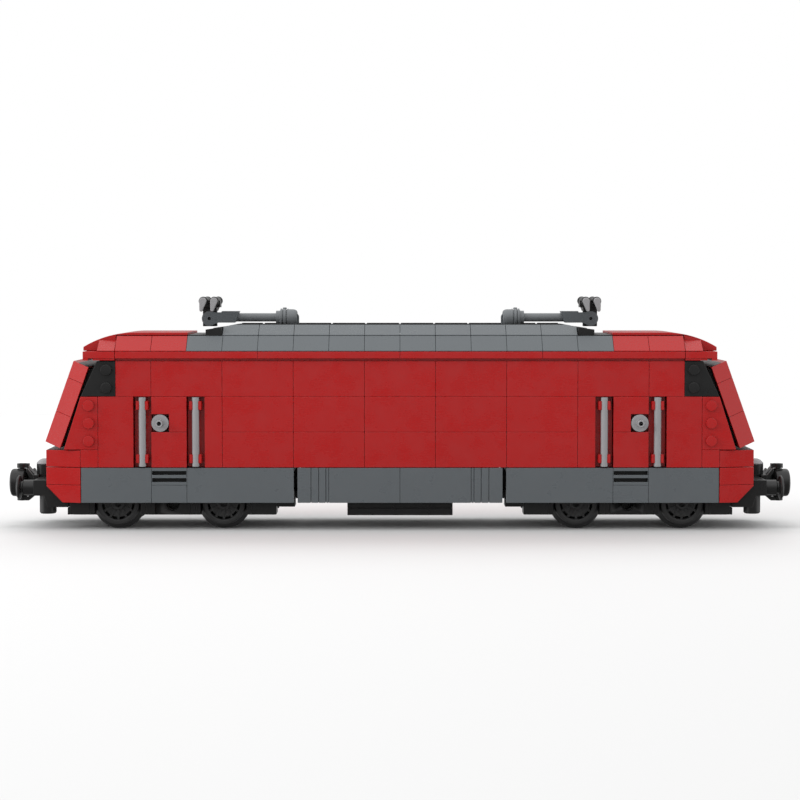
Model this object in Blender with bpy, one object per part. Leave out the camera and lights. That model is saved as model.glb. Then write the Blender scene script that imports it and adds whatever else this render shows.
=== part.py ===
"""Brick-built model of a four-axle electric locomotive, 8 mm stud pitch, 8 studs wide.

Lengths are millimetres until a mesh is made. +X is the front end, +Y the left side, +Z up.
The origin lies under the centre of the locomotive, level with the bottom of the wheel flanges.
Both ends and both sides are built by the same functions: `end` and `side` are +1 or -1.
"""

import math

import bmesh
import bpy
from mathutils import Matrix, Vector

# ---- Driving dimensions ---------------------------------------------------------------------
MM = 0.001
STUD = 8.0
PLATE = 3.2
GAP = 0.3
FUSE = 1.0
ROUND_STEPS = 16
SMALL_STEPS = 12
WHEEL_STEPS = 24
SMOOTH_ANGLE = math.radians(35)

ENDS = {"front": 1, "rear": -1}
SIDES = {"left": 1, "right": -1}

# Side walls and floor
WALL_FACE = 30.4
WALL_BACK = 24.0
CORE_BACK = 18.0
RECESS_FLOOR = WALL_FACE - PLATE
FLOOR_BOTTOM = 28.8
FLOOR_TOP = FLOOR_BOTTOM + PLATE
WINDOW_SILL = 60.8
WALL_TOP = 76.8
CORE_TOP = 77.6
CORE_HALF_LENGTH = 16 * STUD
WALL_END = 18 * STUD
NOSE_ROW_TOP = 36.8
SLANT_FOOT = (151.4, 37.0)
SLANT_SILL = (143.7, 60.6)
SLANT_TOP = (136.2, WALL_TOP)
STUD_RADIUS = 2.4
STUD_HEIGHT = 1.7
STUD_PLACES = ((140.0, 40.8), (140.0, 48.8), (140.0, 56.8), (132.0, 64.8), (132.0, 72.8))

# Cab doors
HANDRAIL_PLACES = {"outer": 14.5 * STUD, "inner": 11.5 * STUD}
HANDRAIL_RADIUS = 1.6
HANDRAIL_OUT = 29.9
CLIP_HEIGHTS = (32.8, 56.8)
CLIP_HALF_HEIGHT = 2.0
CLIP_REACH = 30.7
CLIP_THICKNESS = 1.0
KNOB_PLACE = (13.5 * STUD, 48.8)
KNOB_RADIUS = 3.9
KNOB_STUB_RADIUS = 1.6
KNOB_HOLE_RADIUS = 0.8
KNOB_REACH = 35.0

# Roof
EAVE_HALF_WIDTH = 32.0
EAVE_BOTTOM = 78.0
EAVE_TOP = 81.1
SLOPE_TOP = 88.0
SLOPE_EDGE = 24.0
CREST_EDGE = 16.0
CREST_TOP = 93.2
CREST_FLOOR = 91.2
CREST_RIM = 1.0
CREST_HALF_LENGTH = 74.6
DECK_TOP = 88.9
DECK_HALF_LENGTH = 12 * STUD
GRILLE_FOOT = 87.9
GRILLE_LIP = 90.2
CREST_SLOPE_END = 80.4
CREST_SLOPE_PEAK = (17.9, 92.0)
CAB_ROOF_TOP = 89.5
CAB_ROOF_BEND = 15 * STUD
CAB_ROOF_FRONT = 143.2
CAB_LIP_FRONT = 142.4
CAB_ROOF_RADIUS = 44.4
CAB_LIP_BOTTOM = 77.1
CORNER_SLOPE_TOP = 86.0
CORNER_SLOPE_END = 17 * STUD
CEILING_BOTTOM = 73.5
CEILING_FRONT = 17 * STUD

# Nose and leaning windscreen panel
NOSE_FRONT = 160.0
NOSE_FRONT_HALF_WIDTH = 26.4
NOSE_REBATE_FROM = 156.4
NOSE_REBATE_HALF_WIDTH = 25.0
NOSE_REBATE_TOP = 31.6
BULKHEAD_FRONT = -3.0
BULKHEAD_BACK = -7.0
PANEL_TILT = math.radians(19.65)
PANEL_FOOT = (153.2, 37.4)
PANEL_LENGTH = 38.9
PANEL_THICKNESS = 8.0
PANEL_BACK_HALF_WIDTH = 29.6
PANEL_FRONT_HALF_WIDTH = 24.0
PANEL_BACKING = 1.5
PANEL_HINGE = (153.1, 39.0)
PANEL_BAR_RADIUS = 1.6
PANEL_BAR_REACH = 18.0
PANEL_CLIP_RADIUS = 2.7
PANEL_CLIP_ARC = (-20, 150)
PANEL_CLIP_PLACES = (-12.0, 12.0)
PANEL_CLIP_HALF_WIDTH = 1.8
GLASS_SPAN = (19.0, 35.0)
GLASS_HALF_WIDTH = 21.0
GLASS_DEPTH = 2.4

# Under the floor
SKIRT_BOTTOM = 12.8
SKIRT_TOP = FLOOR_BOTTOM - GAP
MIDDLE_SKIRT_END = 46.4
MIDDLE_SKIRT_CHAMFER = 3.2
TANK_HALF_LENGTH = 24.0
TANK_BOTTOM = 6.5

# Bogies
BOGIE_X = 13 * STUD
PIVOT_RADIUS = 3.9
FRAME_TOP = 28.4
FRAME_PLATE_BOTTOM = 24.6
FRAME_HALF_WIDTH = 23.7
FRAME_INNER_END = 49.0
FRAME_OUTER_END = 149.6
SOLEBAR_SPANS = ((56.0, 67.4), (92.6, 115.4), (140.6, 149.6))
SOLEBAR_INSIDE = 14.2
SOLEBAR_BOTTOM = 6.95
SKIRT_INNER_END = 47.9
SOLEBAR_OUTSIDE = 25.0
INNER_BAR = (13.1, 15.9)
STEP_SPAN = (47.6, 57.0)
STEP_HEIGHTS = (10.9, 14.1)
PIN_HOLE_PLACE = (103.0, 11.7)
PIN_HOLE_RADIUS = 2.4
GRILLE_SLOT_BOTTOMS = (22.2, 25.4)
GRILLE_SLOT_HEIGHT = 1.8
GRILLE_SLOT_DEPTH = 1.5
GRILLE_CENTRE = 13 * STUD
GRILLE_SLOT_HALF_LENGTH = 7.2
SKIRT_INSIDE = SOLEBAR_OUTSIDE + GAP
FAIRING_STEP = 20.8
FAIRING_INNER = 150.2
FAIRING_CUT = ((151.9, 12.3), (162.2, 22.3), (163.0, 12.3))
BEAM_HALF_WIDTH = 24.0
BEAM_BLOCK_SPAN = (160.4, 166.4)
BEAM_BLOCK_HEIGHTS = (14.5, 22.0)
BEAM_FOOT_SPAN = (150.4, 160.0)
BEAM_FOOT_HEIGHTS = (10.2, 12.2)
BUFFER_OUT = 20.0
BUFFER_Z = 18.6
BUFFER_RADIUS = 5.25
BUFFER_FACE = 174.4
BUFFER_DISC_BACK = 172.9
BUFFER_SHAFT_RADIUS = 3.25
BUFFER_CHAMFER = (0.5, 1.5)
STEP_POST_X = 160.3
STEP_POST_RADIUS = 3.8
STEP_POST_HEIGHTS = (7.1, 18.0)
COLUMN_X = 164.3
COLUMN_RADIUS = 3.6
COLUMN_HEIGHTS = (22.4, 28.4)
COLUMN_CAP = ((2.6, 30.4), (0, 31.0))
HOLDER_BLOCK_SPAN = (166.8, 169.6)
HOLDER_BLOCK_HALF_WIDTH = 6.0
HOLDER_BLOCK_HEIGHTS = (14.2, 23.4)
WEB_HALF_WIDTH = 1.8
WEB_FRONT = 172.2
MAGNET_PIVOT = 175.5
MAGNET_Z = 19.35
MAGNET_RADIUS = 6.4
MAGNET_FACE = 180.6
MAGNET_BACK = 173.6
MAGNET_CHAMFERS = (1.0, 1.6)
MAGNET_STEPS = 20
EAR_RADIUS = 2.35
UPPER_EAR = (26.2, 28.2)
LOWER_EAR = (11.1, 12.5)
MAGNET_PIN_RADIUS = 1.0
MAGNET_PIN_HEIGHTS = (11.9, 27.2)
BARREL_RADIUS = 2.95
BARREL_HEIGHTS = (13.5, 25.0)
COLLAR_RADIUS = 2.0
COLLAR_HEIGHTS = (12.8, 25.9)

# Wheelsets
AXLE_PLACES = {"outer": 16 * STUD, "inner": 10 * STUD}
AXLE_Z = 12.0
AXLE_RADIUS = 1.6
AXLE_REACH = 22.5
HOUSING_HALF_WIDTH = 13.6
FLANGE_RADIUS = 12.0
TREAD_RADIUS = 10.0
HUB_RADIUS = 3.0
FLANGE_THICKNESS = 1.2
TREAD_TAPER = 0.4
RIM_INSIDE = 7.6
WHEEL_DISH = 2.0
WHEEL_BACK = 16.2
WHEEL_FACE = 23.4
HUB_FACE = 24.0

# Pantographs
ARM_Z = 96.0
ARM_PIVOT = 49.0
ARM_HEEL = 47.5
ARM_HEEL_RADIUS = 4.0
ARM_RING_RADIUS = 4.5
ARM_RING_SPAN = (52.8, 54.4)
ARM_COLLAR_RADIUS = 3.1
ARM_COLLAR_END = 57.3
ARM_ROD_RADIUS = 1.95
TRUNNION_RADIUS = 1.2
HOLDER_SPAN = (74.2, 84.1)
HOLDER_HALF_WIDTH = 3.8
HOLDER_HEIGHTS = (93.6, 98.9)
HEAD_PIVOT = (88.0, 95.5)
HEAD_EAR_RADIUS = 3.4
HEAD_EAR_ARC = (100, -110)
HEAD_HALF_WIDTH = 1.7
HEAD_BLOCK_SPAN = (84.6, 91.1)
HEAD_BLOCK_HEIGHTS = (91.9, 101.5)
HEAD_SWING_RADIUS = 5.8
CRADLE_SPAN = (82.9, 92.2)
CRADLE_HEIGHTS = (100.7, 103.8)
STRIP_PLACES = {"outer": (90.0, 103.8), "inner": (85.0, 103.8)}
STRIP_RADIUS = 1.6
STRIP_REACH = 14.4
HORN_THICKNESS = 2.6
HORN_RADIUS = 1.9
HORN_DROP = 4.4
HORN_LEAN = 0.4
HORN_TIP_RADIUS = 0.8
LUG_RADIUS = 2.3
LUG_HALF_WIDTH = 1.1
TRUNNION_REACH = 3.0
HEAD_PIN_RADIUS = 0.8

COLOURS = {
    "red": ((0.376, 0.024, 0.023, 1.0), 0.3),
    "grey": ((0.109, 0.119, 0.127, 1.0), 0.35),
    "black": ((0.014, 0.014, 0.014, 1.0), 0.4),
    "light_grey": ((0.33, 0.34, 0.35, 1.0), 0.35),
    "glass": ((0.02, 0.022, 0.024, 1.0), 0.1),
    "steel": ((0.55, 0.55, 0.56, 1.0), 0.25),
}


# ---- Modelling helpers ----------------------------------------------------------------------
def clear_scene():
    for leftover in list(bpy.data.objects):
        bpy.data.objects.remove(leftover, do_unlink=True)


def finish_mesh(shape, name):
    """A mesh in metres, with its faces pointing out, from a bmesh in millimetres."""
    bmesh.ops.recalc_face_normals(shape, faces=shape.faces)
    bmesh.ops.scale(shape, vec=(MM, MM, MM), verts=shape.verts)
    mesh = bpy.data.meshes.new(name)
    shape.to_mesh(mesh)
    shape.free()
    return mesh


def prism(outline, normal, low, high):
    """A straight extrusion of a flat outline between two places on the axis `normal`."""
    shape = bmesh.new()
    corners = []
    for first, second in outline:
        place = {"x": (low, first, second), "y": (first, low, second), "z": (first, second, low)}[normal]
        corners.append(shape.verts.new(place))
    face = shape.faces.new(corners)
    grown = bmesh.ops.extrude_face_region(shape, geom=[face])
    moved = [item for item in grown["geom"] if isinstance(item, bmesh.types.BMVert)]
    along = {"x": Vector((1, 0, 0)), "y": Vector((0, 1, 0)), "z": Vector((0, 0, 1))}[normal]
    bmesh.ops.translate(shape, vec=along * (high - low), verts=moved)
    return finish_mesh(shape, "prism")


def box(x_range, y_range, z_range):
    low, high = x_range
    near, far = y_range
    return prism([(low, near), (high, near), (high, far), (low, far)], "z", *z_range)


def turned(profile, centre, axis, steps=ROUND_STEPS):
    """A solid of revolution. The profile's points are (radius, place on the axis)."""
    shape = bmesh.new()
    points = [shape.verts.new((radius, 0.0, height)) for radius, height in profile]
    edges = [shape.edges.new(pair) for pair in zip(points, points[1:] + points[:1])]
    turn_by = {"cent": (0, 0, 0), "axis": (0, 0, 1), "angle": math.tau, "steps": steps, "use_merge": True}
    bmesh.ops.spin(shape, geom=points + edges, **turn_by)
    bmesh.ops.remove_doubles(shape, verts=shape.verts, dist=0.001)
    wires = [edge for edge in shape.edges if not edge.link_faces]
    bmesh.ops.delete(shape, geom=wires, context="EDGES")
    turn = {
        "x": Matrix.Rotation(math.radians(90), 4, "Y"),
        "y": Matrix.Rotation(math.radians(-90), 4, "X"),
        "z": Matrix.Identity(4),
    }[axis]
    bmesh.ops.transform(shape, matrix=Matrix.Translation(centre) @ turn, verts=shape.verts)
    return finish_mesh(shape, "turned")


def cylinder(radius, centre, axis, low, high, steps=ROUND_STEPS):
    return turned([(0, low), (radius, low), (radius, high), (0, high)], centre, axis, steps)


def arc(centre, radius, start, stop, steps):
    """Points on an arc, in degrees, both ends included."""
    points = []
    for step in range(steps + 1):
        angle = math.radians(start + (stop - start) * step / steps)
        points.append((centre[0] + radius * math.cos(angle), centre[1] + radius * math.sin(angle)))
    return points


def span(sign, low, high):
    """A stretch of an axis on the side given by `sign`, lowest value first."""
    return tuple(sorted((sign * low, sign * high)))


def mirrored(points, sign):
    return [(sign * first, second) for first, second in points]


def shade(mesh):
    """Round faces look smooth and edges stay sharp."""
    mesh.shade_smooth()
    mesh.set_sharp_from_angle(angle=SMOOTH_ANGLE)


def helper(mesh, name):
    """A hidden object that a Boolean joins to a piece or cuts from it."""
    tool = bpy.data.objects.new(name, mesh)
    bpy.context.scene.collection.objects.link(tool)
    tool.hide_render = True
    tool.display_type = "WIRE"
    return tool


def piece(name, colour, base, joined=(), cut=(), added=(), parent=None):
    """One named piece: a base mesh with meshes fused to it, then cut from it, then added in the cuts."""
    offset = parent.matrix_world.translation if parent else Vector((0, 0, 0))
    base.transform(Matrix.Translation(-offset))
    base.name = name
    base.materials.append(MATERIALS[colour])
    shade(base)
    obj = bpy.data.objects.new(name, base)
    bpy.context.scene.collection.objects.link(obj)
    obj.parent = parent
    steps = [("joined", "UNION", joined), ("cut", "DIFFERENCE", cut), ("added", "UNION", added)]
    for kind, operation, meshes in steps:
        for count, mesh in enumerate(meshes):
            shade(mesh)
            step = obj.modifiers.new(f"{kind}_{count}", "BOOLEAN")
            step.operation = operation
            step.solver = "EXACT"
            step.object = helper(mesh, f"{name}_{kind}_{count}")


def pivot(name, place, parent=None):
    """An empty on a joint's axis. Its moving pieces are its children."""
    empty = bpy.data.objects.new(name, None)
    bpy.context.scene.collection.objects.link(empty)
    offset = parent.matrix_world.translation if parent else Vector((0, 0, 0))
    empty.location = Vector(place) * MM - offset
    empty.parent = parent
    bpy.context.view_layer.update()
    return empty


def make_materials():
    made = {}
    for name, (colour, roughness) in COLOURS.items():
        material = bpy.data.materials.new(name)
        material.use_nodes = True
        shader = material.node_tree.nodes["Principled BSDF"]
        shader.inputs["Base Color"].default_value = colour
        shader.inputs["Roughness"].default_value = roughness
        shader.inputs["Metallic"].default_value = 1.0 if name == "steel" else 0.0
        made[name] = material
    return made


# ---- Body -----------------------------------------------------------------------------------
def main_floor():
    half_width = WALL_BACK - GAP
    plate = box((-WALL_END + GAP, WALL_END - GAP), (-half_width, half_width), (FLOOR_BOTTOM, FLOOR_TOP))
    pins = [
        cylinder(PIVOT_RADIUS, (end * BOGIE_X, 0, 0), "z", FRAME_PLATE_BOTTOM + GAP, FLOOR_BOTTOM + FUSE)
        for end in ENDS.values()
    ]
    piece("main_floor", "black", plate, joined=pins)


def equipment_tank():
    half_width = WALL_BACK - GAP
    tank = box((-TANK_HALF_LENGTH, TANK_HALF_LENGTH), (-half_width, half_width), (TANK_BOTTOM, SKIRT_TOP))
    piece("equipment_tank", "black", tank)


def cell_span(centre):
    """One stud pitch about a centre."""
    return (centre - STUD / 2, centre + STUD / 2)


def side_wall(name, side):
    """Tiled skin, brick core, studs, handrail clips and door knobs of one side."""
    front = WALL_END - GAP
    half = [(front, FLOOR_BOTTOM), (front, SLANT_FOOT[1]), SLANT_FOOT, SLANT_SILL, SLANT_TOP]
    skin = prism(half + mirrored(reversed(half), -1), "y", *span(side, WALL_BACK, WALL_FACE))
    core_depth = span(side, CORE_BACK, WALL_BACK + FUSE)
    core = box((-CORE_HALF_LENGTH, CORE_HALF_LENGTH), core_depth, (FLOOR_TOP + GAP, CORE_TOP))
    outwards = span(side, RECESS_FLOOR, WALL_FACE + FUSE)
    studs = []
    recesses = []
    fittings = []
    for end in ENDS.values():
        for stud_x, stud_z in STUD_PLACES:
            reach = span(side, WALL_FACE - FUSE, WALL_FACE + STUD_HEIGHT)
            studs.append(cylinder(STUD_RADIUS, (end * stud_x, 0, stud_z), "y", *reach, steps=SMALL_STEPS))
        for place in HANDRAIL_PLACES.values():
            recesses.append(box(cell_span(end * place), outwards, (FLOOR_BOTTOM - FUSE, WINDOW_SILL)))
        recesses.append(box(cell_span(end * KNOB_PLACE[0]), outwards, cell_span(KNOB_PLACE[1])))
        fittings += door_fittings(end, side)
    piece(name, "red", skin, joined=[core] + studs, cut=recesses, added=fittings)


def door_fittings(end, side):
    """Handrail clips and the door knob of one door."""
    meshes = []
    for place in HANDRAIL_PLACES.values():
        for height in CLIP_HEIGHTS:
            for hand in (-1, 1):
                low, high = span(hand, HANDRAIL_RADIUS + GAP, HANDRAIL_RADIUS + GAP + CLIP_THICKNESS)
                across = (end * place + low, end * place + high)
                upwards = (height - CLIP_HALF_HEIGHT, height + CLIP_HALF_HEIGHT)
                meshes.append(box(across, span(side, RECESS_FLOOR - FUSE, CLIP_REACH), upwards))
    profile = [
        (0, RECESS_FLOOR - FUSE),
        (KNOB_RADIUS, RECESS_FLOOR - FUSE),
        (KNOB_RADIUS, WALL_FACE),
        (KNOB_STUB_RADIUS, WALL_FACE),
        (KNOB_STUB_RADIUS, KNOB_REACH),
        (KNOB_HOLE_RADIUS, KNOB_REACH),
        (KNOB_HOLE_RADIUS, WALL_FACE + FUSE),
        (0, WALL_FACE + FUSE),
    ]
    outwards = [(radius, side * height) for radius, height in profile]
    meshes.append(turned(outwards, (end * KNOB_PLACE[0], 0, KNOB_PLACE[1]), "y", SMALL_STEPS))
    return meshes


def handrails(side_name, side):
    for end_name, end in ENDS.items():
        for place_name, place in HANDRAIL_PLACES.items():
            foot = (end * place, side * HANDRAIL_OUT, 0)
            bar = cylinder(HANDRAIL_RADIUS, foot, "z", FLOOR_BOTTOM + GAP, WINDOW_SILL - GAP, SMALL_STEPS)
            piece(f"handrail_{end_name}_{side_name}_{place_name}", "light_grey", bar)


def middle_skirt(name, side):
    """The skirt between the bogies. Its ends are cut back at the corners that the bogies swing past."""
    end_back = MIDDLE_SKIRT_END - MIDDLE_SKIRT_CHAMFER
    outline = [
        (-MIDDLE_SKIRT_END, side * WALL_FACE),
        (-end_back, side * WALL_BACK),
        (end_back, side * WALL_BACK),
        (MIDDLE_SKIRT_END, side * WALL_FACE),
    ]
    piece(name, "grey", prism(outline, "z", SKIRT_BOTTOM, SKIRT_TOP))


# ---- Roof -----------------------------------------------------------------------------------
def roof_side(name, side):
    """Eave plates and the lower row of roof slopes."""
    inside = side * (CREST_EDGE + GAP)
    outline = [
        (inside, EAVE_BOTTOM),
        (side * EAVE_HALF_WIDTH, EAVE_BOTTOM),
        (side * EAVE_HALF_WIDTH, EAVE_TOP),
        (side * SLOPE_EDGE, SLOPE_TOP),
        (inside, SLOPE_TOP),
    ]
    piece(name, "grey", prism(outline, "x", -CORE_HALF_LENGTH, CORE_HALF_LENGTH))


def roof_deck():
    """Black plates down the middle of the roof, with a grille slope at each end of the raised crest."""
    length = (-DECK_HALF_LENGTH, DECK_HALF_LENGTH)
    plank = box(length, (-CREST_EDGE, CREST_EDGE), (SLOPE_TOP - PLATE, SLOPE_TOP))
    crest_end = CREST_HALF_LENGTH + GAP
    keel = CREST_EDGE - FUSE
    half_section = [(keel, SLOPE_TOP - FUSE), (keel, SLOPE_TOP + GAP)]
    half_section += [(SLOPE_EDGE, SLOPE_TOP + GAP), (SLOPE_EDGE, DECK_TOP)]
    section = half_section + mirrored(reversed(half_section), -1)
    grille = [(crest_end, DECK_TOP - GAP), (GRILLE_FOOT, DECK_TOP - GAP)]
    grille += [(GRILLE_FOOT, GRILLE_LIP), (crest_end, CREST_TOP)]
    grille_edge = SLOPE_EDGE - GAP / 2
    additions = []
    corners = []
    for end in ENDS.values():
        additions.append(prism(section, "x", *span(end, crest_end, DECK_HALF_LENGTH - GAP)))
        additions.append(prism(mirrored(grille, end), "y", -grille_edge, grille_edge))
        beside_crest = span(end, crest_end - FUSE, CREST_SLOPE_END + GAP)
        for side in SIDES.values():
            beyond = span(side, CREST_EDGE - GAP / 2, SLOPE_EDGE + FUSE)
            corners.append(box(beside_crest, beyond, (SLOPE_TOP + GAP / 2, CREST_TOP + FUSE)))
    piece("roof_deck", "black", plank, joined=additions, cut=corners)


def roof_centre():
    """The raised crest: upper slopes each side of a tiled channel, with a lug for each pantograph."""
    rim = CREST_EDGE - CREST_RIM
    half = [(SLOPE_EDGE, SLOPE_TOP + GAP), (CREST_EDGE, CREST_TOP), (rim, CREST_TOP), (rim, CREST_FLOOR)]
    outline = half + mirrored(reversed(half), -1)
    crest = prism(outline, "x", -CREST_HALF_LENGTH, CREST_HALF_LENGTH)
    base = CREST_FLOOR - FUSE
    lug = [(ARM_PIVOT + LUG_RADIUS, base)] + arc((ARM_PIVOT, ARM_Z), LUG_RADIUS, 0, 180, 8)
    lug.append((ARM_PIVOT - LUG_RADIUS, base))
    slope_foot = SLOPE_TOP + GAP
    slope_inside = CREST_EDGE + GAP / 2
    peak_height = CREST_SLOPE_PEAK[1]
    slope = [(slope_inside, slope_foot), (SLOPE_EDGE, slope_foot), CREST_SLOPE_PEAK]
    slope.append((slope_inside, peak_height))
    parts = []
    bores = []
    for end in ENDS.values():
        place = (end * ARM_PIVOT, 0, ARM_Z)
        reach = LUG_HALF_WIDTH + FUSE
        bores.append(cylinder(TRUNNION_RADIUS + GAP, place, "y", -reach, reach, SMALL_STEPS))
        parts.append(prism(mirrored(lug, end), "y", -LUG_HALF_WIDTH, LUG_HALF_WIDTH))
        for side in SIDES.values():
            length = span(end, CREST_HALF_LENGTH - FUSE, CREST_SLOPE_END)
            parts.append(prism(mirrored(slope, side), "x", *length))
    piece("roof_centre", "grey", crest, joined=parts, cut=bores)


def cab_roof(name, end):
    """Flat cab roof that curves down to the windscreen, its eave lip, and a small slope at each corner."""
    drop_angle = math.degrees(math.asin((CAB_ROOF_FRONT - CAB_ROOF_BEND) / CAB_ROOF_RADIUS))
    bend = arc((CAB_ROOF_BEND, CAB_ROOF_TOP - CAB_ROOF_RADIUS), CAB_ROOF_RADIUS, 90, 90 - drop_angle, 8)
    thick_from = CORE_HALF_LENGTH + GAP
    outline = [(DECK_HALF_LENGTH, SLOPE_TOP + GAP), (DECK_HALF_LENGTH, CAB_ROOF_TOP)] + bend
    outline += [(CAB_ROOF_FRONT, CAB_LIP_BOTTOM), (thick_from, CAB_LIP_BOTTOM)]
    outline.append((thick_from, SLOPE_TOP + GAP))
    curve = prism(mirrored(outline, end), "y", -SLOPE_EDGE, SLOPE_EDGE)
    across = (-EAVE_HALF_WIDTH, EAVE_HALF_WIDTH)
    between_walls = (-WALL_BACK + GAP, WALL_BACK - GAP)
    additions = [
        box(span(end, thick_from, CAB_LIP_FRONT), across, (CAB_LIP_BOTTOM, EAVE_TOP)),
        box(span(end, thick_from, CEILING_FRONT), between_walls, (CEILING_BOTTOM, CAB_LIP_BOTTOM + FUSE)),
    ]
    for side in SIDES.values():
        slope = [
            (side * (SLOPE_EDGE - FUSE), EAVE_TOP - FUSE),
            (side * EAVE_HALF_WIDTH, EAVE_TOP - FUSE),
            (side * EAVE_HALF_WIDTH, EAVE_TOP),
            (side * SLOPE_EDGE, CORNER_SLOPE_TOP),
            (side * (SLOPE_EDGE - FUSE), CORNER_SLOPE_TOP),
        ]
        additions.append(prism(slope, "x", *span(end, thick_from, CORNER_SLOPE_END)))
    piece(name, "red", curve, joined=additions)


# ---- Nose -----------------------------------------------------------------------------------
def panel_point(out, down):
    """A point of the leaning panel: `out` from its inner face, `down` from its top edge."""
    up = PANEL_LENGTH - down
    return (
        PANEL_FOOT[0] + out * math.cos(PANEL_TILT) - up * math.sin(PANEL_TILT),
        PANEL_FOOT[1] + out * math.sin(PANEL_TILT) + up * math.cos(PANEL_TILT),
    )


def panel_slab(end, section, top, bottom):
    """A prism along the lean of the panel. The section's points are (out, across)."""
    shape = bmesh.new()
    rings = []
    for down in (top, bottom):
        ring = []
        for out, across in section:
            x, z = panel_point(out, down)
            ring.append(shape.verts.new((end * x, across, z)))
        rings.append(ring)
    shape.faces.new(rings[0])
    shape.faces.new(reversed(rings[1]))
    count = len(section)
    for index in range(count):
        after = (index + 1) % count
        shape.faces.new((rings[0][index], rings[1][index], rings[1][after], rings[0][after]))
    return finish_mesh(shape, "panel_slab")


def panel_section(low, high, half_low, half_high):
    return [(low, -half_low), (high, -half_high), (high, half_high), (low, half_low)]


def cab_nose(name, end):
    """The nose row, the slanted bulkhead behind the windscreen panel, and the clips for the panel's bar."""
    plan = [
        (WALL_END, -WALL_FACE),
        (NOSE_FRONT, -NOSE_FRONT_HALF_WIDTH),
        (NOSE_FRONT, NOSE_FRONT_HALF_WIDTH),
        (WALL_END, WALL_FACE),
    ]
    row = prism(mirrored(plan, end), "z", FLOOR_BOTTOM, NOSE_ROW_TOP - GAP)
    bulkhead = [
        (WALL_END, FLOOR_BOTTOM + FUSE),
        (WALL_END + PANEL_THICKNESS, FLOOR_BOTTOM + FUSE),
        panel_point(BULKHEAD_FRONT, PANEL_LENGTH),
        panel_point(BULKHEAD_FRONT, FUSE),
        panel_point(BULKHEAD_BACK, FUSE),
        (WALL_END, NOSE_ROW_TOP),
    ]
    plate = prism(mirrored(bulkhead, end), "y", -FRAME_HALF_WIDTH, FRAME_HALF_WIDTH)
    hinge_x, hinge_z = PANEL_HINGE
    clip_root = NOSE_ROW_TOP - PLATE
    clip = [(hinge_x + PANEL_CLIP_RADIUS, clip_root)]
    clip += arc(PANEL_HINGE, PANEL_CLIP_RADIUS, *PANEL_CLIP_ARC, 8)
    clip.append(panel_point(BULKHEAD_FRONT - FUSE, PANEL_LENGTH - PLATE))
    clip.append((hinge_x - PANEL_CLIP_RADIUS, clip_root))
    clips = [
        prism(mirrored(clip, end), "y", place - PANEL_CLIP_HALF_WIDTH, place + PANEL_CLIP_HALF_WIDTH)
        for place in PANEL_CLIP_PLACES
    ]
    across = (-NOSE_REBATE_HALF_WIDTH, NOSE_REBATE_HALF_WIDTH)
    rebate_length = span(end, NOSE_REBATE_FROM, NOSE_FRONT + FUSE)
    rebate = box(rebate_length, across, (FLOOR_BOTTOM - FUSE, NOSE_REBATE_TOP))
    bar_reach = PANEL_BAR_REACH + GAP
    bar_room = cylinder(PANEL_BAR_RADIUS + GAP, (end * hinge_x, 0, hinge_z), "y", -bar_reach, bar_reach)
    piece(name, "red", row, joined=[plate] + clips, cut=[rebate, bar_room])


def windscreen_panel(end_name, end):
    """The leaning front panel with its glass, hinged on a bar along its foot."""
    hinge_place = (end * PANEL_HINGE[0], 0, PANEL_HINGE[1])
    hinge = pivot(f"panel_hinge_{end_name}", hinge_place)
    body_section = panel_section(0, PANEL_THICKNESS, PANEL_BACK_HALF_WIDTH, PANEL_FRONT_HALF_WIDTH)
    slab = panel_slab(end, body_section, 0, PANEL_LENGTH)
    backing_half_width = WALL_BACK - GAP
    backing_section = panel_section(-PANEL_BACKING, FUSE, backing_half_width, backing_half_width)
    backing = panel_slab(end, backing_section, FUSE, PANEL_LENGTH - PLATE)
    glass_low, glass_high = GLASS_SPAN
    glass_top = PANEL_LENGTH - glass_high
    glass_bottom = PANEL_LENGTH - glass_low
    recess_floor = PANEL_THICKNESS - GLASS_DEPTH
    recess_section = panel_section(recess_floor, PANEL_THICKNESS + FUSE, GLASS_HALF_WIDTH, GLASS_HALF_WIDTH)
    recess = panel_slab(end, recess_section, glass_top, glass_bottom)
    notch_half_width = PANEL_CLIP_HALF_WIDTH + GAP
    notches = []
    for place in PANEL_CLIP_PLACES:
        reach = (place - notch_half_width, place + notch_half_width)
        notches.append(cylinder(PANEL_CLIP_RADIUS + GAP, hinge_place, "y", *reach))
    bar = cylinder(PANEL_BAR_RADIUS, hinge_place, "y", -PANEL_BAR_REACH, PANEL_BAR_REACH)
    name = f"windscreen_frame_{end_name}"
    piece(name, "red", slab, joined=[backing], cut=[recess] + notches, added=[bar], parent=hinge)
    glass_half_width = GLASS_HALF_WIDTH - GAP
    glass_section = panel_section(recess_floor + GAP, PANEL_THICKNESS, glass_half_width, glass_half_width)
    glass = panel_slab(end, glass_section, glass_top + GAP, glass_bottom - GAP)
    piece(f"windscreen_{end_name}", "glass", glass, parent=hinge)


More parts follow.
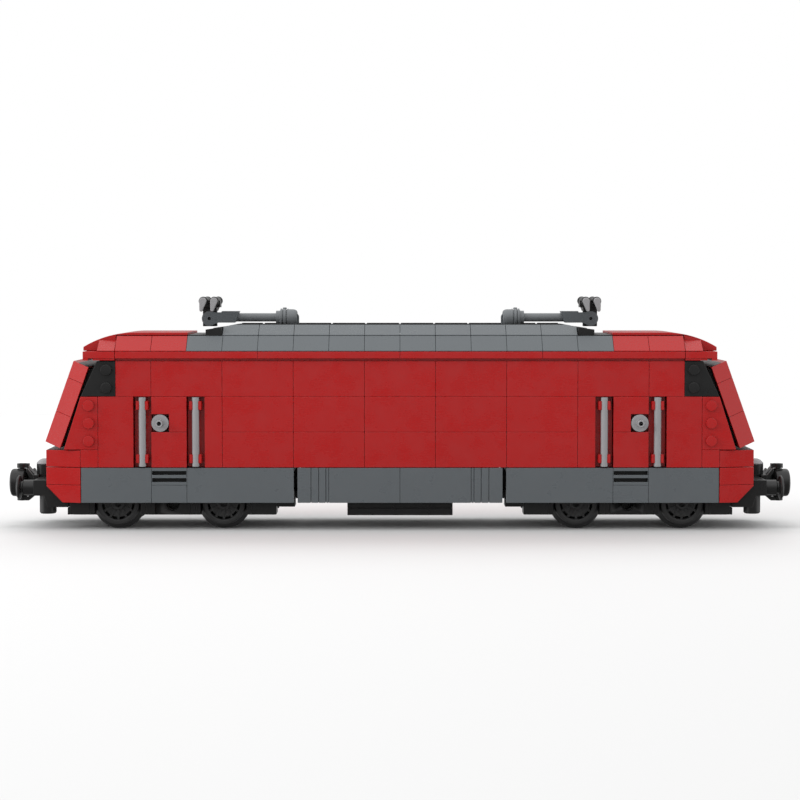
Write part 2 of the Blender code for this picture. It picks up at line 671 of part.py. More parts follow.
# ---- Pantographs ----------------------------------------------------------------------------
def pantograph(end_name, end):
    """The folded arm, hinged at its heel, with ears at its far end that hold the head."""
    foot = pivot(f"pantograph_pivot_{end_name}", (end * ARM_PIVOT, 0, ARM_Z))
    chamfer = ARM_HEEL_RADIUS - ARM_COLLAR_RADIUS
    profile = [
        (0, ARM_HEEL),
        (ARM_COLLAR_RADIUS, ARM_HEEL),
        (ARM_HEEL_RADIUS, ARM_HEEL + chamfer),
        (ARM_HEEL_RADIUS, ARM_RING_SPAN[0]),
        (ARM_RING_RADIUS, ARM_RING_SPAN[0]),
        (ARM_RING_RADIUS, ARM_RING_SPAN[1]),
        (ARM_COLLAR_RADIUS, ARM_RING_SPAN[1]),
        (ARM_COLLAR_RADIUS, ARM_COLLAR_END),
        (ARM_ROD_RADIUS, ARM_COLLAR_END),
        (ARM_ROD_RADIUS, HOLDER_SPAN[0] + FUSE),
        (0, HOLDER_SPAN[0] + FUSE),
    ]
    rod = turned([(radius, end * along) for radius, along in profile], (0, 0, ARM_Z), "x")
    arm_place = (end * ARM_PIVOT, 0, ARM_Z)
    trunnion = cylinder(TRUNNION_RADIUS, arm_place, "y", -TRUNNION_REACH, TRUNNION_REACH, SMALL_STEPS)
    lug_room = LUG_HALF_WIDTH + GAP
    lug_slot = box(
        span(end, ARM_HEEL - FUSE, ARM_PIVOT + LUG_RADIUS + GAP),
        (-lug_room, lug_room),
        (ARM_Z - ARM_HEEL_RADIUS - FUSE, ARM_Z + ARM_HEEL_RADIUS + FUSE),
    )
    holder = box(span(end, *HOLDER_SPAN), (-HOLDER_HALF_WIDTH, HOLDER_HALF_WIDTH), HOLDER_HEIGHTS)
    head_x, head_z = HEAD_PIVOT
    ear_root = HOLDER_SPAN[1] - FUSE
    ear = [(ear_root, head_z + HEAD_EAR_RADIUS - GAP)] + arc(HEAD_PIVOT, HEAD_EAR_RADIUS, *HEAD_EAR_ARC, 9)
    ear.append((ear_root, HOLDER_HEIGHTS[0] + GAP))
    slot_half_width = HEAD_HALF_WIDTH + GAP
    ears = [
        prism(mirrored(ear, end), "y", *span(side, slot_half_width, HOLDER_HALF_WIDTH))
        for side in SIDES.values()
    ]
    slot_reach = span(end, head_x - HEAD_SWING_RADIUS, head_x + HEAD_SWING_RADIUS)
    slot_heights = (head_z - HEAD_SWING_RADIUS, head_z + HEAD_SWING_RADIUS)
    slot = box(slot_reach, (-slot_half_width, slot_half_width), slot_heights)
    pin_place = (end * head_x, 0, head_z)
    room_reach = HOLDER_HALF_WIDTH + FUSE
    pin_room = cylinder(HEAD_PIN_RADIUS + GAP, pin_place, "y", -room_reach, room_reach, SMALL_STEPS)
    name = f"pantograph_arm_{end_name}"
    cuts = [lug_slot, slot, pin_room]
    piece(name, "grey", rod, joined=[holder] + ears, cut=cuts, added=[trunnion], parent=foot)
    pantograph_head(end_name, end, foot)


def pantograph_head(end_name, end, foot):
    """The block that turns between the arm's ears, and the two contact strips across its cradle."""
    head_x, head_z = HEAD_PIVOT
    tilt = pivot(f"pantograph_head_pivot_{end_name}", (end * head_x, 0, head_z), foot)
    block = box(span(end, *HEAD_BLOCK_SPAN), (-HEAD_HALF_WIDTH, HEAD_HALF_WIDTH), HEAD_BLOCK_HEIGHTS)
    pin_reach = HOLDER_HALF_WIDTH - GAP
    pin = cylinder(HEAD_PIN_RADIUS, (end * head_x, 0, head_z), "y", -pin_reach, pin_reach, SMALL_STEPS)
    cradle = box(span(end, *CRADLE_SPAN), (-HOLDER_HALF_WIDTH, HOLDER_HALF_WIDTH), CRADLE_HEIGHTS)
    groove_reach = HOLDER_HALF_WIDTH + FUSE
    bar_reach = STRIP_REACH - FUSE
    grooves = []
    for strip_name, (strip_x, strip_z) in STRIP_PLACES.items():
        place = (end * strip_x, 0, strip_z)
        grooves.append(cylinder(STRIP_RADIUS + GAP, place, "y", -groove_reach, groove_reach, SMALL_STEPS))
        bar = cylinder(STRIP_RADIUS, place, "y", -bar_reach, bar_reach, SMALL_STEPS)
        horn = arc((strip_x, strip_z), HORN_RADIUS, 0, 180, 6)
        horn += arc((strip_x + HORN_LEAN, strip_z - HORN_DROP), HORN_TIP_RADIUS, 180, 360, 4)
        horns = [
            prism(mirrored(horn, end), "y", *span(side, STRIP_REACH - HORN_THICKNESS, STRIP_REACH))
            for side in SIDES.values()
        ]
        piece(f"contact_strip_{end_name}_{strip_name}", "black", bar, joined=horns, parent=tilt)
    piece(f"pantograph_head_{end_name}", "black", block, joined=[pin, cradle], cut=grooves, parent=tilt)


# ---- Bogies ---------------------------------------------------------------------------------
def bogie(end_name, end):
    yaw = pivot(f"bogie_pivot_{end_name}", (end * BOGIE_X, 0, FRAME_TOP))
    bogie_frame(end_name, end, yaw)
    for side_name, side in SIDES.items():
        bogie_skirt(f"bogie_skirt_{end_name}_{side_name}", end, side, yaw)
    nose_fairing(end_name, end, yaw)
    buffer_beam(end_name, end, yaw)
    coupler(end_name, end, yaw)
    for place_name, place in AXLE_PLACES.items():
        wheelset(f"{end_name}_{place_name}", end * place, yaw)


def bogie_frame(end_name, end, yaw):
    """Top plate, axle housings, bars behind the wheels, solebar blocks between them, and end steps."""
    across = (-FRAME_HALF_WIDTH, FRAME_HALF_WIDTH)
    plate = box(span(end, FRAME_INNER_END, FRAME_OUTER_END), across, (FRAME_PLATE_BOTTOM, FRAME_TOP))
    pivot_place = (end * BOGIE_X, 0, 0)
    cuts = [cylinder(PIVOT_RADIUS + GAP, pivot_place, "z", FRAME_PLATE_BOTTOM - FUSE, FRAME_TOP + FUSE)]
    parts = []
    reach = INNER_BAR[1] + FUSE
    for place in AXLE_PLACES.values():
        along = (end * place - STUD, end * place + STUD)
        housing_heights = (SOLEBAR_BOTTOM, FRAME_PLATE_BOTTOM + FUSE)
        parts.append(box(along, (-HOUSING_HALF_WIDTH, HOUSING_HALF_WIDTH), housing_heights))
        cuts.append(cylinder(AXLE_RADIUS + GAP, (end * place, 0, AXLE_Z), "y", -reach, reach))
    for side in SIDES.values():
        for low, high in SOLEBAR_SPANS:
            along = span(end, low, high)
            upper = (FRAME_PLATE_BOTTOM - 2 * FUSE, FRAME_PLATE_BOTTOM + FUSE)
            lower = (SOLEBAR_BOTTOM, FRAME_PLATE_BOTTOM - FUSE)
            parts.append(box(along, span(side, SOLEBAR_INSIDE, FRAME_HALF_WIDTH), upper))
            parts.append(box(along, span(side, SOLEBAR_INSIDE, SOLEBAR_OUTSIDE), lower))
        bar_length = span(end, SOLEBAR_SPANS[0][0] + GAP, SOLEBAR_SPANS[-1][1] - GAP)
        bar_heights = (SOLEBAR_BOTTOM + GAP, FRAME_PLATE_BOTTOM + 2 * GAP)
        parts.append(box(bar_length, span(side, *INNER_BAR), bar_heights))
        step = span(side, SOLEBAR_INSIDE + GAP, SOLEBAR_OUTSIDE - GAP)
        parts.append(box(span(end, *STEP_SPAN), step, STEP_HEIGHTS))
        hole_x, hole_z = PIN_HOLE_PLACE
        hole_reach = span(side, WALL_BACK - PLATE, SOLEBAR_OUTSIDE + FUSE)
        cuts.append(cylinder(PIN_HOLE_RADIUS, (end * hole_x, 0, hole_z), "y", *hole_reach, SMALL_STEPS))
    piece(f"bogie_frame_{end_name}", "black", plate, joined=parts, cut=cuts, parent=yaw)


def bogie_skirt(name, end, side, yaw):
    across = span(side, SKIRT_INSIDE, WALL_FACE)
    slab = box(span(end, SKIRT_INNER_END, WALL_END - GAP), across, (SKIRT_BOTTOM, SKIRT_TOP))
    along = (end * GRILLE_CENTRE - GRILLE_SLOT_HALF_LENGTH, end * GRILLE_CENTRE + GRILLE_SLOT_HALF_LENGTH)
    slot_depth = span(side, WALL_FACE - GRILLE_SLOT_DEPTH, WALL_FACE + FUSE)
    slots = [box(along, slot_depth, (low, low + GRILLE_SLOT_HEIGHT)) for low in GRILLE_SLOT_BOTTOMS]
    piece(name, "grey", slab, cut=slots, parent=yaw)


def nose_fairing(end_name, end, yaw):
    """Red fairing below the nose: two tapered cheeks and a front row, cut back above the buffer beam."""
    half_plan = [(WALL_END, SKIRT_INSIDE), (WALL_END, WALL_FACE), (NOSE_FRONT, NOSE_FRONT_HALF_WIDTH)]
    far_half = [(x, -y) for x, y in reversed(half_plan)]
    plan = half_plan + far_half + [(FAIRING_INNER, -SKIRT_INSIDE), (FAIRING_INNER, SKIRT_INSIDE)]
    row = prism(mirrored(plan, end), "z", FAIRING_STEP, SKIRT_TOP)
    beam_side = BEAM_HALF_WIDTH + GAP
    cheeks = []
    for side in SIDES.values():
        cheek = [
            (WALL_END, side * SKIRT_INSIDE),
            (WALL_END, side * WALL_FACE),
            (NOSE_FRONT, side * NOSE_FRONT_HALF_WIDTH),
            (NOSE_FRONT, side * beam_side),
            (FAIRING_INNER + FUSE, side * beam_side),
            (FAIRING_INNER + FUSE, side * SKIRT_INSIDE),
        ]
        cheeks.append(prism(mirrored(cheek, end), "z", SKIRT_BOTTOM, FAIRING_STEP + FUSE))
    diagonal = prism(mirrored(FAIRING_CUT, end), "y", -EAVE_HALF_WIDTH, EAVE_HALF_WIDTH)
    piece(f"nose_fairing_{end_name}", "red", row, joined=cheeks, cut=[diagonal], parent=yaw)


def buffer_beam(end_name, end, yaw):
    """The beam with its sloping back, two buffers, and a post below each buffer."""
    block_back, block_front = BEAM_BLOCK_SPAN
    block_bottom, block_top = BEAM_BLOCK_HEIGHTS
    foot_back, foot_front = BEAM_FOOT_SPAN
    foot_bottom, foot_top = BEAM_FOOT_HEIGHTS
    outline = [(block_front, block_top), (block_back, block_top), (block_back, FAIRING_STEP - 2 * GAP)]
    outline += [(foot_back + 2 * GAP + FUSE, foot_top), (foot_back, foot_top), (foot_back, foot_bottom)]
    outline += [(foot_front, foot_bottom), (block_back + FUSE, block_bottom), (block_front, block_bottom)]
    beam = prism(mirrored(outline, end), "y", -BEAM_HALF_WIDTH, BEAM_HALF_WIDTH)
    rim, bevel = BUFFER_CHAMFER
    profile = [
        (0, block_front - FUSE),
        (BUFFER_SHAFT_RADIUS, block_front - FUSE),
        (BUFFER_SHAFT_RADIUS, BUFFER_DISC_BACK),
        (BUFFER_RADIUS, BUFFER_DISC_BACK),
        (BUFFER_RADIUS, BUFFER_FACE - rim),
        (BUFFER_RADIUS - bevel, BUFFER_FACE),
        (0, BUFFER_FACE),
    ]
    outwards = [(radius, end * along) for radius, along in profile]
    fittings = []
    for side in SIDES.values():
        fittings.append(turned(outwards, (0, side * BUFFER_OUT, BUFFER_Z), "x"))
        post = (end * STEP_POST_X, side * BUFFER_OUT, 0)
        fittings.append(cylinder(STEP_POST_RADIUS, post, "z", *STEP_POST_HEIGHTS))
    piece(f"buffer_beam_{end_name}", "black", beam, joined=fittings, parent=yaw)


def coupler(end_name, end, yaw):
    """The holder with its capped column and two ears, and the magnet drum that turns between the ears."""
    block_back, block_front = HOLDER_BLOCK_SPAN
    block_bottom = HOLDER_BLOCK_HEIGHTS[0]
    ear_back = MAGNET_PIVOT - EAR_RADIUS
    column_bottom, column_top = COLUMN_HEIGHTS
    web = [(block_back, block_bottom), (block_back, column_bottom), (block_front - FUSE, column_bottom)]
    web += [(WEB_FRONT, UPPER_EAR[0]), (WEB_FRONT, UPPER_EAR[1]), (MAGNET_PIVOT, UPPER_EAR[1])]
    web += [(MAGNET_PIVOT, UPPER_EAR[0]), (ear_back, UPPER_EAR[0]), (WEB_FRONT, UPPER_EAR[0] - FUSE)]
    web += [(WEB_FRONT, LOWER_EAR[1] + GAP), (ear_back, LOWER_EAR[1]), (MAGNET_PIVOT, LOWER_EAR[1])]
    web += [(MAGNET_PIVOT, LOWER_EAR[0]), (WEB_FRONT, LOWER_EAR[0]), (block_front - FUSE, block_bottom)]
    base = prism(mirrored(web, end), "y", -WEB_HALF_WIDTH, WEB_HALF_WIDTH)
    column = [(0, column_bottom), (COLUMN_RADIUS, column_bottom), (COLUMN_RADIUS, column_top)]
    block_across = (-HOLDER_BLOCK_HALF_WIDTH, HOLDER_BLOCK_HALF_WIDTH)
    pin_place = (end * MAGNET_PIVOT, 0, 0)
    joined = [
        turned(column + list(COLUMN_CAP), (end * COLUMN_X, 0, 0), "z"),
        box(span(end, block_back, block_front), block_across, HOLDER_BLOCK_HEIGHTS),
        cylinder(EAR_RADIUS, pin_place, "z", *UPPER_EAR),
        cylinder(EAR_RADIUS, pin_place, "z", *LOWER_EAR),
    ]
    pin_bottom, pin_top = MAGNET_PIN_HEIGHTS
    hole_radius = MAGNET_PIN_RADIUS + GAP
    holes = [
        cylinder(hole_radius, pin_place, "z", UPPER_EAR[0] - GAP, pin_top + GAP, SMALL_STEPS),
        cylinder(hole_radius, pin_place, "z", pin_bottom - GAP, LOWER_EAR[1] + GAP, SMALL_STEPS),
    ]
    piece(f"coupler_holder_{end_name}", "black", base, joined=joined, cut=holes, parent=yaw)
    swing = pivot(f"coupler_pivot_{end_name}", (end * MAGNET_PIVOT, 0, MAGNET_Z), yaw)
    back_chamfer, face_chamfer = MAGNET_CHAMFERS
    profile = [
        (0, MAGNET_BACK),
        (MAGNET_RADIUS - back_chamfer, MAGNET_BACK),
        (MAGNET_RADIUS, MAGNET_BACK + back_chamfer),
        (MAGNET_RADIUS, MAGNET_FACE - face_chamfer),
        (MAGNET_RADIUS - face_chamfer, MAGNET_FACE),
        (0, MAGNET_FACE),
    ]
    drum = turned([(radius, end * along) for radius, along in profile], (0, 0, MAGNET_Z), "x", MAGNET_STEPS)
    pin = cylinder(MAGNET_PIN_RADIUS, pin_place, "z", pin_bottom, pin_top, SMALL_STEPS)
    collar_bottom, collar_top = COLLAR_HEIGHTS
    barrel_bottom, barrel_top = BARREL_HEIGHTS
    barrel = [
        (0, collar_bottom),
        (COLLAR_RADIUS, collar_bottom),
        (COLLAR_RADIUS, barrel_bottom),
        (BARREL_RADIUS, barrel_bottom),
        (BARREL_RADIUS, barrel_top),
        (COLLAR_RADIUS, barrel_top),
        (COLLAR_RADIUS, collar_top),
        (0, collar_top),
    ]
    joined = [turned(barrel, pin_place, "z"), pin]
    piece(f"coupler_magnet_{end_name}", "black", drum, joined=joined, parent=swing)


def wheelset(name, place, yaw):
    """An axle with a flanged wheel pressed on each end."""
    centre = (place, 0, AXLE_Z)
    axis = pivot(f"axle_pivot_{name}", centre, yaw)
    axle = cylinder(AXLE_RADIUS, centre, "y", -AXLE_REACH, AXLE_REACH, SMALL_STEPS)
    piece(f"axle_{name}", "steel", axle, parent=axis)
    bore = AXLE_RADIUS + GAP
    web_face = WHEEL_FACE - WHEEL_DISH
    profile = [
        (bore, WHEEL_BACK),
        (FLANGE_RADIUS, WHEEL_BACK),
        (FLANGE_RADIUS, WHEEL_BACK + FLANGE_THICKNESS),
        (TREAD_RADIUS, WHEEL_BACK + 2 * FLANGE_THICKNESS),
        (TREAD_RADIUS - TREAD_TAPER, WHEEL_FACE),
        (RIM_INSIDE, WHEEL_FACE),
        (RIM_INSIDE, web_face),
        (HUB_RADIUS, web_face),
        (HUB_RADIUS, HUB_FACE),
        (0, HUB_FACE),
        (0, AXLE_REACH + GAP),
        (bore, AXLE_REACH + GAP),
    ]
    for side_name, side in SIDES.items():
        points = [(radius, side * out) for radius, out in profile]
        piece(f"wheel_{name}_{side_name}", "black", turned(points, centre, "y", WHEEL_STEPS), parent=axis)


# ---- The locomotive -------------------------------------------------------------------------
MATERIALS = {}


def main():
    clear_scene()
    MATERIALS.update(make_materials())
    main_floor()
    equipment_tank()
    roof_deck()
    roof_centre()
    for name, side in SIDES.items():
        side_wall(f"side_wall_{name}", side)
        handrails(name, side)
        middle_skirt(f"middle_skirt_{name}", side)
        roof_side(f"roof_side_{name}", side)
    for name, end in ENDS.items():
        cab_roof(f"cab_roof_{name}", end)
        cab_nose(f"cab_nose_{name}", end)
        windscreen_panel(name, end)
        pantograph(name, end)
        bogie(name, end)


main()
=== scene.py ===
"""Looks of the brick-built model locomotive: every moulded brick, tile and fitting as a fine mesh.

Lengths are millimetres until a mesh is made. Shapes are drawn at the front left (+X, +Y) and mirrored
to the other three corners: `end` is +1 at the front and -1 at the rear, `side` is +1 on the left.
"""

import math

import bmesh
import bpy
from mathutils import Matrix, Vector


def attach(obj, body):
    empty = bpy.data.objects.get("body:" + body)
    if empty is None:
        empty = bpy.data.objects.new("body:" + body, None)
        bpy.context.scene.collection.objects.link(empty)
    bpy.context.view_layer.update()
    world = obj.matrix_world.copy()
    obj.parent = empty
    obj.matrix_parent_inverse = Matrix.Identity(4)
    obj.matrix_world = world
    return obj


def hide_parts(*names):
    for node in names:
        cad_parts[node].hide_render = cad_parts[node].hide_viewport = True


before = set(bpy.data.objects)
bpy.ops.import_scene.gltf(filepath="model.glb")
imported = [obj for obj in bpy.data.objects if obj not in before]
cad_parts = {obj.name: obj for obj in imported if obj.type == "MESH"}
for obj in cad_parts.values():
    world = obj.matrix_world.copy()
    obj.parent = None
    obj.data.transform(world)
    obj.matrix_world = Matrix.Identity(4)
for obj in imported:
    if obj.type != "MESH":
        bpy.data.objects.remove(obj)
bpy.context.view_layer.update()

# ---- Driving dimensions ---------------------------------------------------------------------
MM = 0.001
STUD = 8.0
BRICK = 2 * STUD
LONG_BRICK = 4 * STUD
PLATE = 3.2
SEAM = 0.06
GAP = 0.1
EDGE = 0.2
ROUND = 40
SMALL_ROUND = 28
ENDS = {"front": 1, "rear": -1}
SIDES = {"left": 1, "right": -1}
ROWS = {"lower": (28.8, 44.8), "middle": (44.8, 60.8), "top": (60.8, 76.8)}
WALL_INSIDE = (28.9, 76.7)
DOOR_INSIDE = (28.9, 60.7)
FACE = 30.4
TILE_BACK = FACE - PLATE
LAYER = (24.2, TILE_BACK - GAP)
CORE = (18.0, 24.0)
WIDE = (-23.6, 23.6)
STUD_RADIUS = 2.4
STUD_HEIGHT = 1.7
CAB_WALL_END = 128.0
FLOOR_END = 143.7
WEDGE_STUD_HEIGHTS = (40.8, 48.8, 56.8)
WINDOW_STUD_HEIGHTS = (64.8, 72.8)
RAILS = {"outer": 116.0, "inner": 92.0}
RAIL_Y = 29.9
RAIL_RADIUS = 1.6
CLIP_HEIGHTS = (32.8, 56.8)
KNOB_PLACE = (108.0, 0, 48.8)
SKIRT_BOTTOM = 12.8
SKIRT_TOP = 28.6
SKIRT_HALF = SKIRT_BOTTOM + STUD
SKIRT_SLOTS = (22.2, 25.4)
SLOT_HEIGHT = 1.8
EAVES = (78.0, 81.1)
EAVE_FACE = 32.0
CREST_BASE = 88.9
CREST_END = 74.6
LIP_FRONT = 142.4
BRICK_SLOPES = [(20.5, 81.2), (31.85, 81.2), (32.0, 81.5), (24.3, 88.0), (20.5, 88.0)]
PANEL_TILT = math.radians(19.65)
PANEL_FOOT = (153.2, 37.4)
PANEL_LENGTH = 38.9
PANEL_THICKNESS = 8.0
PANEL_HINGE = (153.1, 39.0)
ARM_PIVOT = (49.0, 96.0)
HEAD_PIVOT = (88.0, 95.5)
STRIPS = {"outer": 90.0, "inner": 85.0}
STRIP_Z = 103.8
BOGIE_X = 104.0
AXLES = {"outer": 128.0, "inner": 80.0}
AXLE_Z = 12.0
AXLE_RADIUS = 1.6
AXLE_ROOM = 1.9
SOLEBAR = (14.2, 25.0)
SOLEBAR_HEIGHTS = (6.95, 24.5)
FRAME_PLATE = (24.6, 28.3)
NOSE_TIP = 160.0
BUFFER_PLACE = (0, 20.0, 18.9)
POST_PLACE = (160.3, 20.0, 0)
COLUMN_PLACE = (164.6, 0, 0)
MAGNET_PIVOT = (175.5, 0, 0)
MAGNET_Z = 19.35
SPOKES = 12

# ---- Studio values --------------------------------------------------------------------------
FLOOR_RADIUS = 0.9
FLOOR_SHADE = 0.615
DOME = 1.25
LAMP_SIZE = 0.7
LAMPS = {
    "left_key": ((-1.36, -0.56, 0.64), 10.0),
    "rear_top": ((0.0, 0.75, 0.95), 5.6),
}
LAMP_AIM = (0, 0, 0.05)
CAMERA_PLACE = (0.0, -1.0, 0.1094)
CAMERA_PITCH = math.radians(90 - 2.96)
CAMERA_LENS = 97.15
CAMERA_SENSOR = 36.0


# ---- Mesh helpers ---------------------------------------------------------------------------
def mesh_of(shape, name="shape"):
    mesh = bpy.data.meshes.new(name)
    shape.to_mesh(mesh)
    shape.free()
    return mesh


def softened(mesh, edge, segments=2, sharp=24.0):
    """The mesh with every edge sharper than `sharp` degrees rounded off."""
    if not edge:
        return mesh
    shape = bmesh.new()
    shape.from_mesh(mesh)
    bmesh.ops.recalc_face_normals(shape, faces=shape.faces)
    limit = math.radians(sharp)
    edges = [e for e in shape.edges if len(e.link_faces) == 2 and e.calc_face_angle(0.0) > limit]
    bmesh.ops.bevel(
        shape, geom=edges, offset=edge, segments=segments, profile=0.5, affect="EDGES", clamp_overlap=True
    )
    return mesh_of(shape, mesh.name)


def prism(outline, axis, low, high, edge=EDGE):
    """An outline drawn across `axis` and extruded along it. Outline points keep the order x, y, z."""
    shape = bmesh.new()
    rings = []
    for level in (low, high):
        places = {
            "x": [(level, a, b) for a, b in outline],
            "y": [(a, level, b) for a, b in outline],
            "z": [(a, b, level) for a, b in outline],
        }[axis]
        rings.append([shape.verts.new(place) for place in places])
    shape.faces.new(rings[0])
    shape.faces.new(rings[1])
    count = len(outline)
    for index in range(count):
        after = (index + 1) % count
        shape.faces.new((rings[0][index], rings[0][after], rings[1][after], rings[1][index]))
    bmesh.ops.recalc_face_normals(shape, faces=shape.faces)
    return softened(mesh_of(shape), edge)


def block(x_range, y_range, z_range, edge=EDGE):
    low, high = x_range
    near, far = y_range
    return prism([(low, near), (high, near), (high, far), (low, far)], "z", *z_range, edge=edge)


def lathe(profile, centre, axis, steps=ROUND, edge=0.15):
    """A profile of (radius, place along the axis) points turned round an axis through `centre`."""
    shape = bmesh.new()
    rings = []
    for radius, along in profile:
        if radius < 1e-6:
            rings.append([shape.verts.new((0, 0, along))])
            continue
        ring = []
        for step in range(steps):
            angle = math.tau * step / steps
            ring.append(shape.verts.new((radius * math.cos(angle), radius * math.sin(angle), along)))
        rings.append(ring)
    for first, second in zip(rings, rings[1:] + rings[:1]):
        for step in range(steps):
            after = (step + 1) % steps
            corners = [first[step % len(first)], first[after % len(first)]]
            corners += [second[after % len(second)], second[step % len(second)]]
            unique = list(dict.fromkeys(corners))
            if len(unique) > 2:
                shape.faces.new(unique)
    turn = {
        "x": Matrix.Rotation(math.radians(90), 4, "Y"),
        "y": Matrix.Rotation(math.radians(-90), 4, "X"),
        "z": Matrix.Identity(4),
    }[axis]
    bmesh.ops.transform(shape, matrix=Matrix.Translation(centre) @ turn, verts=shape.verts)
    bmesh.ops.recalc_face_normals(shape, faces=shape.faces)
    return softened(mesh_of(shape), edge)


def rod(radius, centre, axis, low, high, edge=0.2, steps=SMALL_ROUND):
    return lathe([(0, low), (radius, low), (radius, high), (0, high)], centre, axis, steps, edge)


def tube(outer, inner, centre, axis, low, high, edge=0.12, steps=SMALL_ROUND):
    return lathe([(inner, low), (outer, low), (outer, high), (inner, high)], centre, axis, steps, edge)


def arc(centre, radius, start, stop, steps):
    points = []
    for step in range(steps + 1):
        angle = math.radians(start + (stop - start) * step / steps)
        points.append((centre[0] + radius * math.cos(angle), centre[1] + radius * math.sin(angle)))
    return points


def studs(low, high, margin=SEAM):
    """The span between two stud lines, less a margin at both ends."""
    return (low * STUD + margin, high * STUD - margin)


def moved(mesh, matrix):
    copy = mesh.copy()
    copy.transform(matrix)
    return copy


def turned_about(mesh, centre, axis, degrees):
    there = Matrix.Translation(Vector(centre))
    return moved(mesh, there @ Matrix.Rotation(math.radians(degrees), 4, axis) @ there.inverted())


def across(mesh):
    """The mesh and its mirror image on the other side of the centre plane."""
    twin = moved(mesh, Matrix.Diagonal((1, -1, 1, 1)))
    twin.flip_normals()
    return [mesh, twin]


def carved(mesh, cutters):
    """The mesh with the cutters taken away from it."""
    base = bpy.data.objects.new("base", mesh)
    bpy.context.scene.collection.objects.link(base)
    tools = []
    for cutter in cutters:
        tool = bpy.data.objects.new("tool", cutter)
        bpy.context.scene.collection.objects.link(tool)
        step = base.modifiers.new("cut", "BOOLEAN")
        step.operation = "DIFFERENCE"
        step.solver = "EXACT"
        step.object = tool
        tools.append(tool)
    graph = bpy.context.evaluated_depsgraph_get()
    result = bpy.data.meshes.new_from_object(base.evaluated_get(graph))
    for leftover in [base] + tools:
        bpy.data.objects.remove(leftover)
    return result


def piece(name, finish, body, shapes, stands_for, end=1, side=1):
    """One visible piece: closed shapes joined in one mesh, mirrored to their corner of the model."""
    whole = bmesh.new()
    for mesh in shapes:
        whole.from_mesh(mesh)
    bmesh.ops.scale(whole, vec=(end * MM, side * MM, MM), verts=whole.verts)
    if end * side < 0:
        bmesh.ops.reverse_faces(whole, faces=whole.faces)
    mesh = mesh_of(whole, name)
    mesh.shade_smooth()
    mesh.materials.append(FINISHES[finish][0])
    obj = bpy.data.objects.new(name, mesh)
    bpy.context.scene.collection.objects.link(obj)
    normals = obj.modifiers.new("face_normals", "WEIGHTED_NORMAL")
    normals.weight = 100
    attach(obj, body)
    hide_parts(*stands_for)
    return obj


def corners():
    """Every end and side pair, with the name ending of its pieces."""
    for end_name, end in ENDS.items():
        for side_name, side in SIDES.items():
            yield f"{end_name}_{side_name}", end_name, end, side_name, side


# ---- Materials ------------------------------------------------------------------------------
def add_node(tree, kind, values=None, **settings):
    node = tree.nodes.new(kind)
    for key, value in settings.items():
        setattr(node, key, value)
    for key, value in (values or {}).items():
        node.inputs[key].default_value = value
    return node


def noise(tree, place, scale, detail=3.0, roughness=0.55):
    node = add_node(tree, "ShaderNodeTexNoise", {"Scale": scale, "Detail": detail, "Roughness": roughness})
    tree.links.new(place, node.inputs["Vector"])
    return node.outputs["Fac"]


def remapped(tree, value, low, high, to_low, to_high):
    values = {"From Min": low, "From Max": high, "To Min": to_low, "To Max": to_high}
    node = add_node(tree, "ShaderNodeMapRange", values)
    tree.links.new(value, node.inputs["Value"])
    return node.outputs["Result"]


def maths(tree, operation, first, second):
    node = add_node(tree, "ShaderNodeMath", operation=operation)
    for socket, value in zip(node.inputs, (first, second)):
        if isinstance(value, (int, float)):
            socket.default_value = value
        else:
            tree.links.new(value, socket)
    return node.outputs["Value"]


def blended(tree, factor, first, second):
    """A colour between two colours."""
    node = add_node(tree, "ShaderNodeMix", data_type="RGBA")
    sockets = (node.inputs[0], node.inputs[6], node.inputs[7])
    for socket, value in zip(sockets, (factor, first, second)):
        if isinstance(value, (int, float, tuple)):
            socket.default_value = value
        else:
            tree.links.new(value, socket)
    return node.outputs[2]


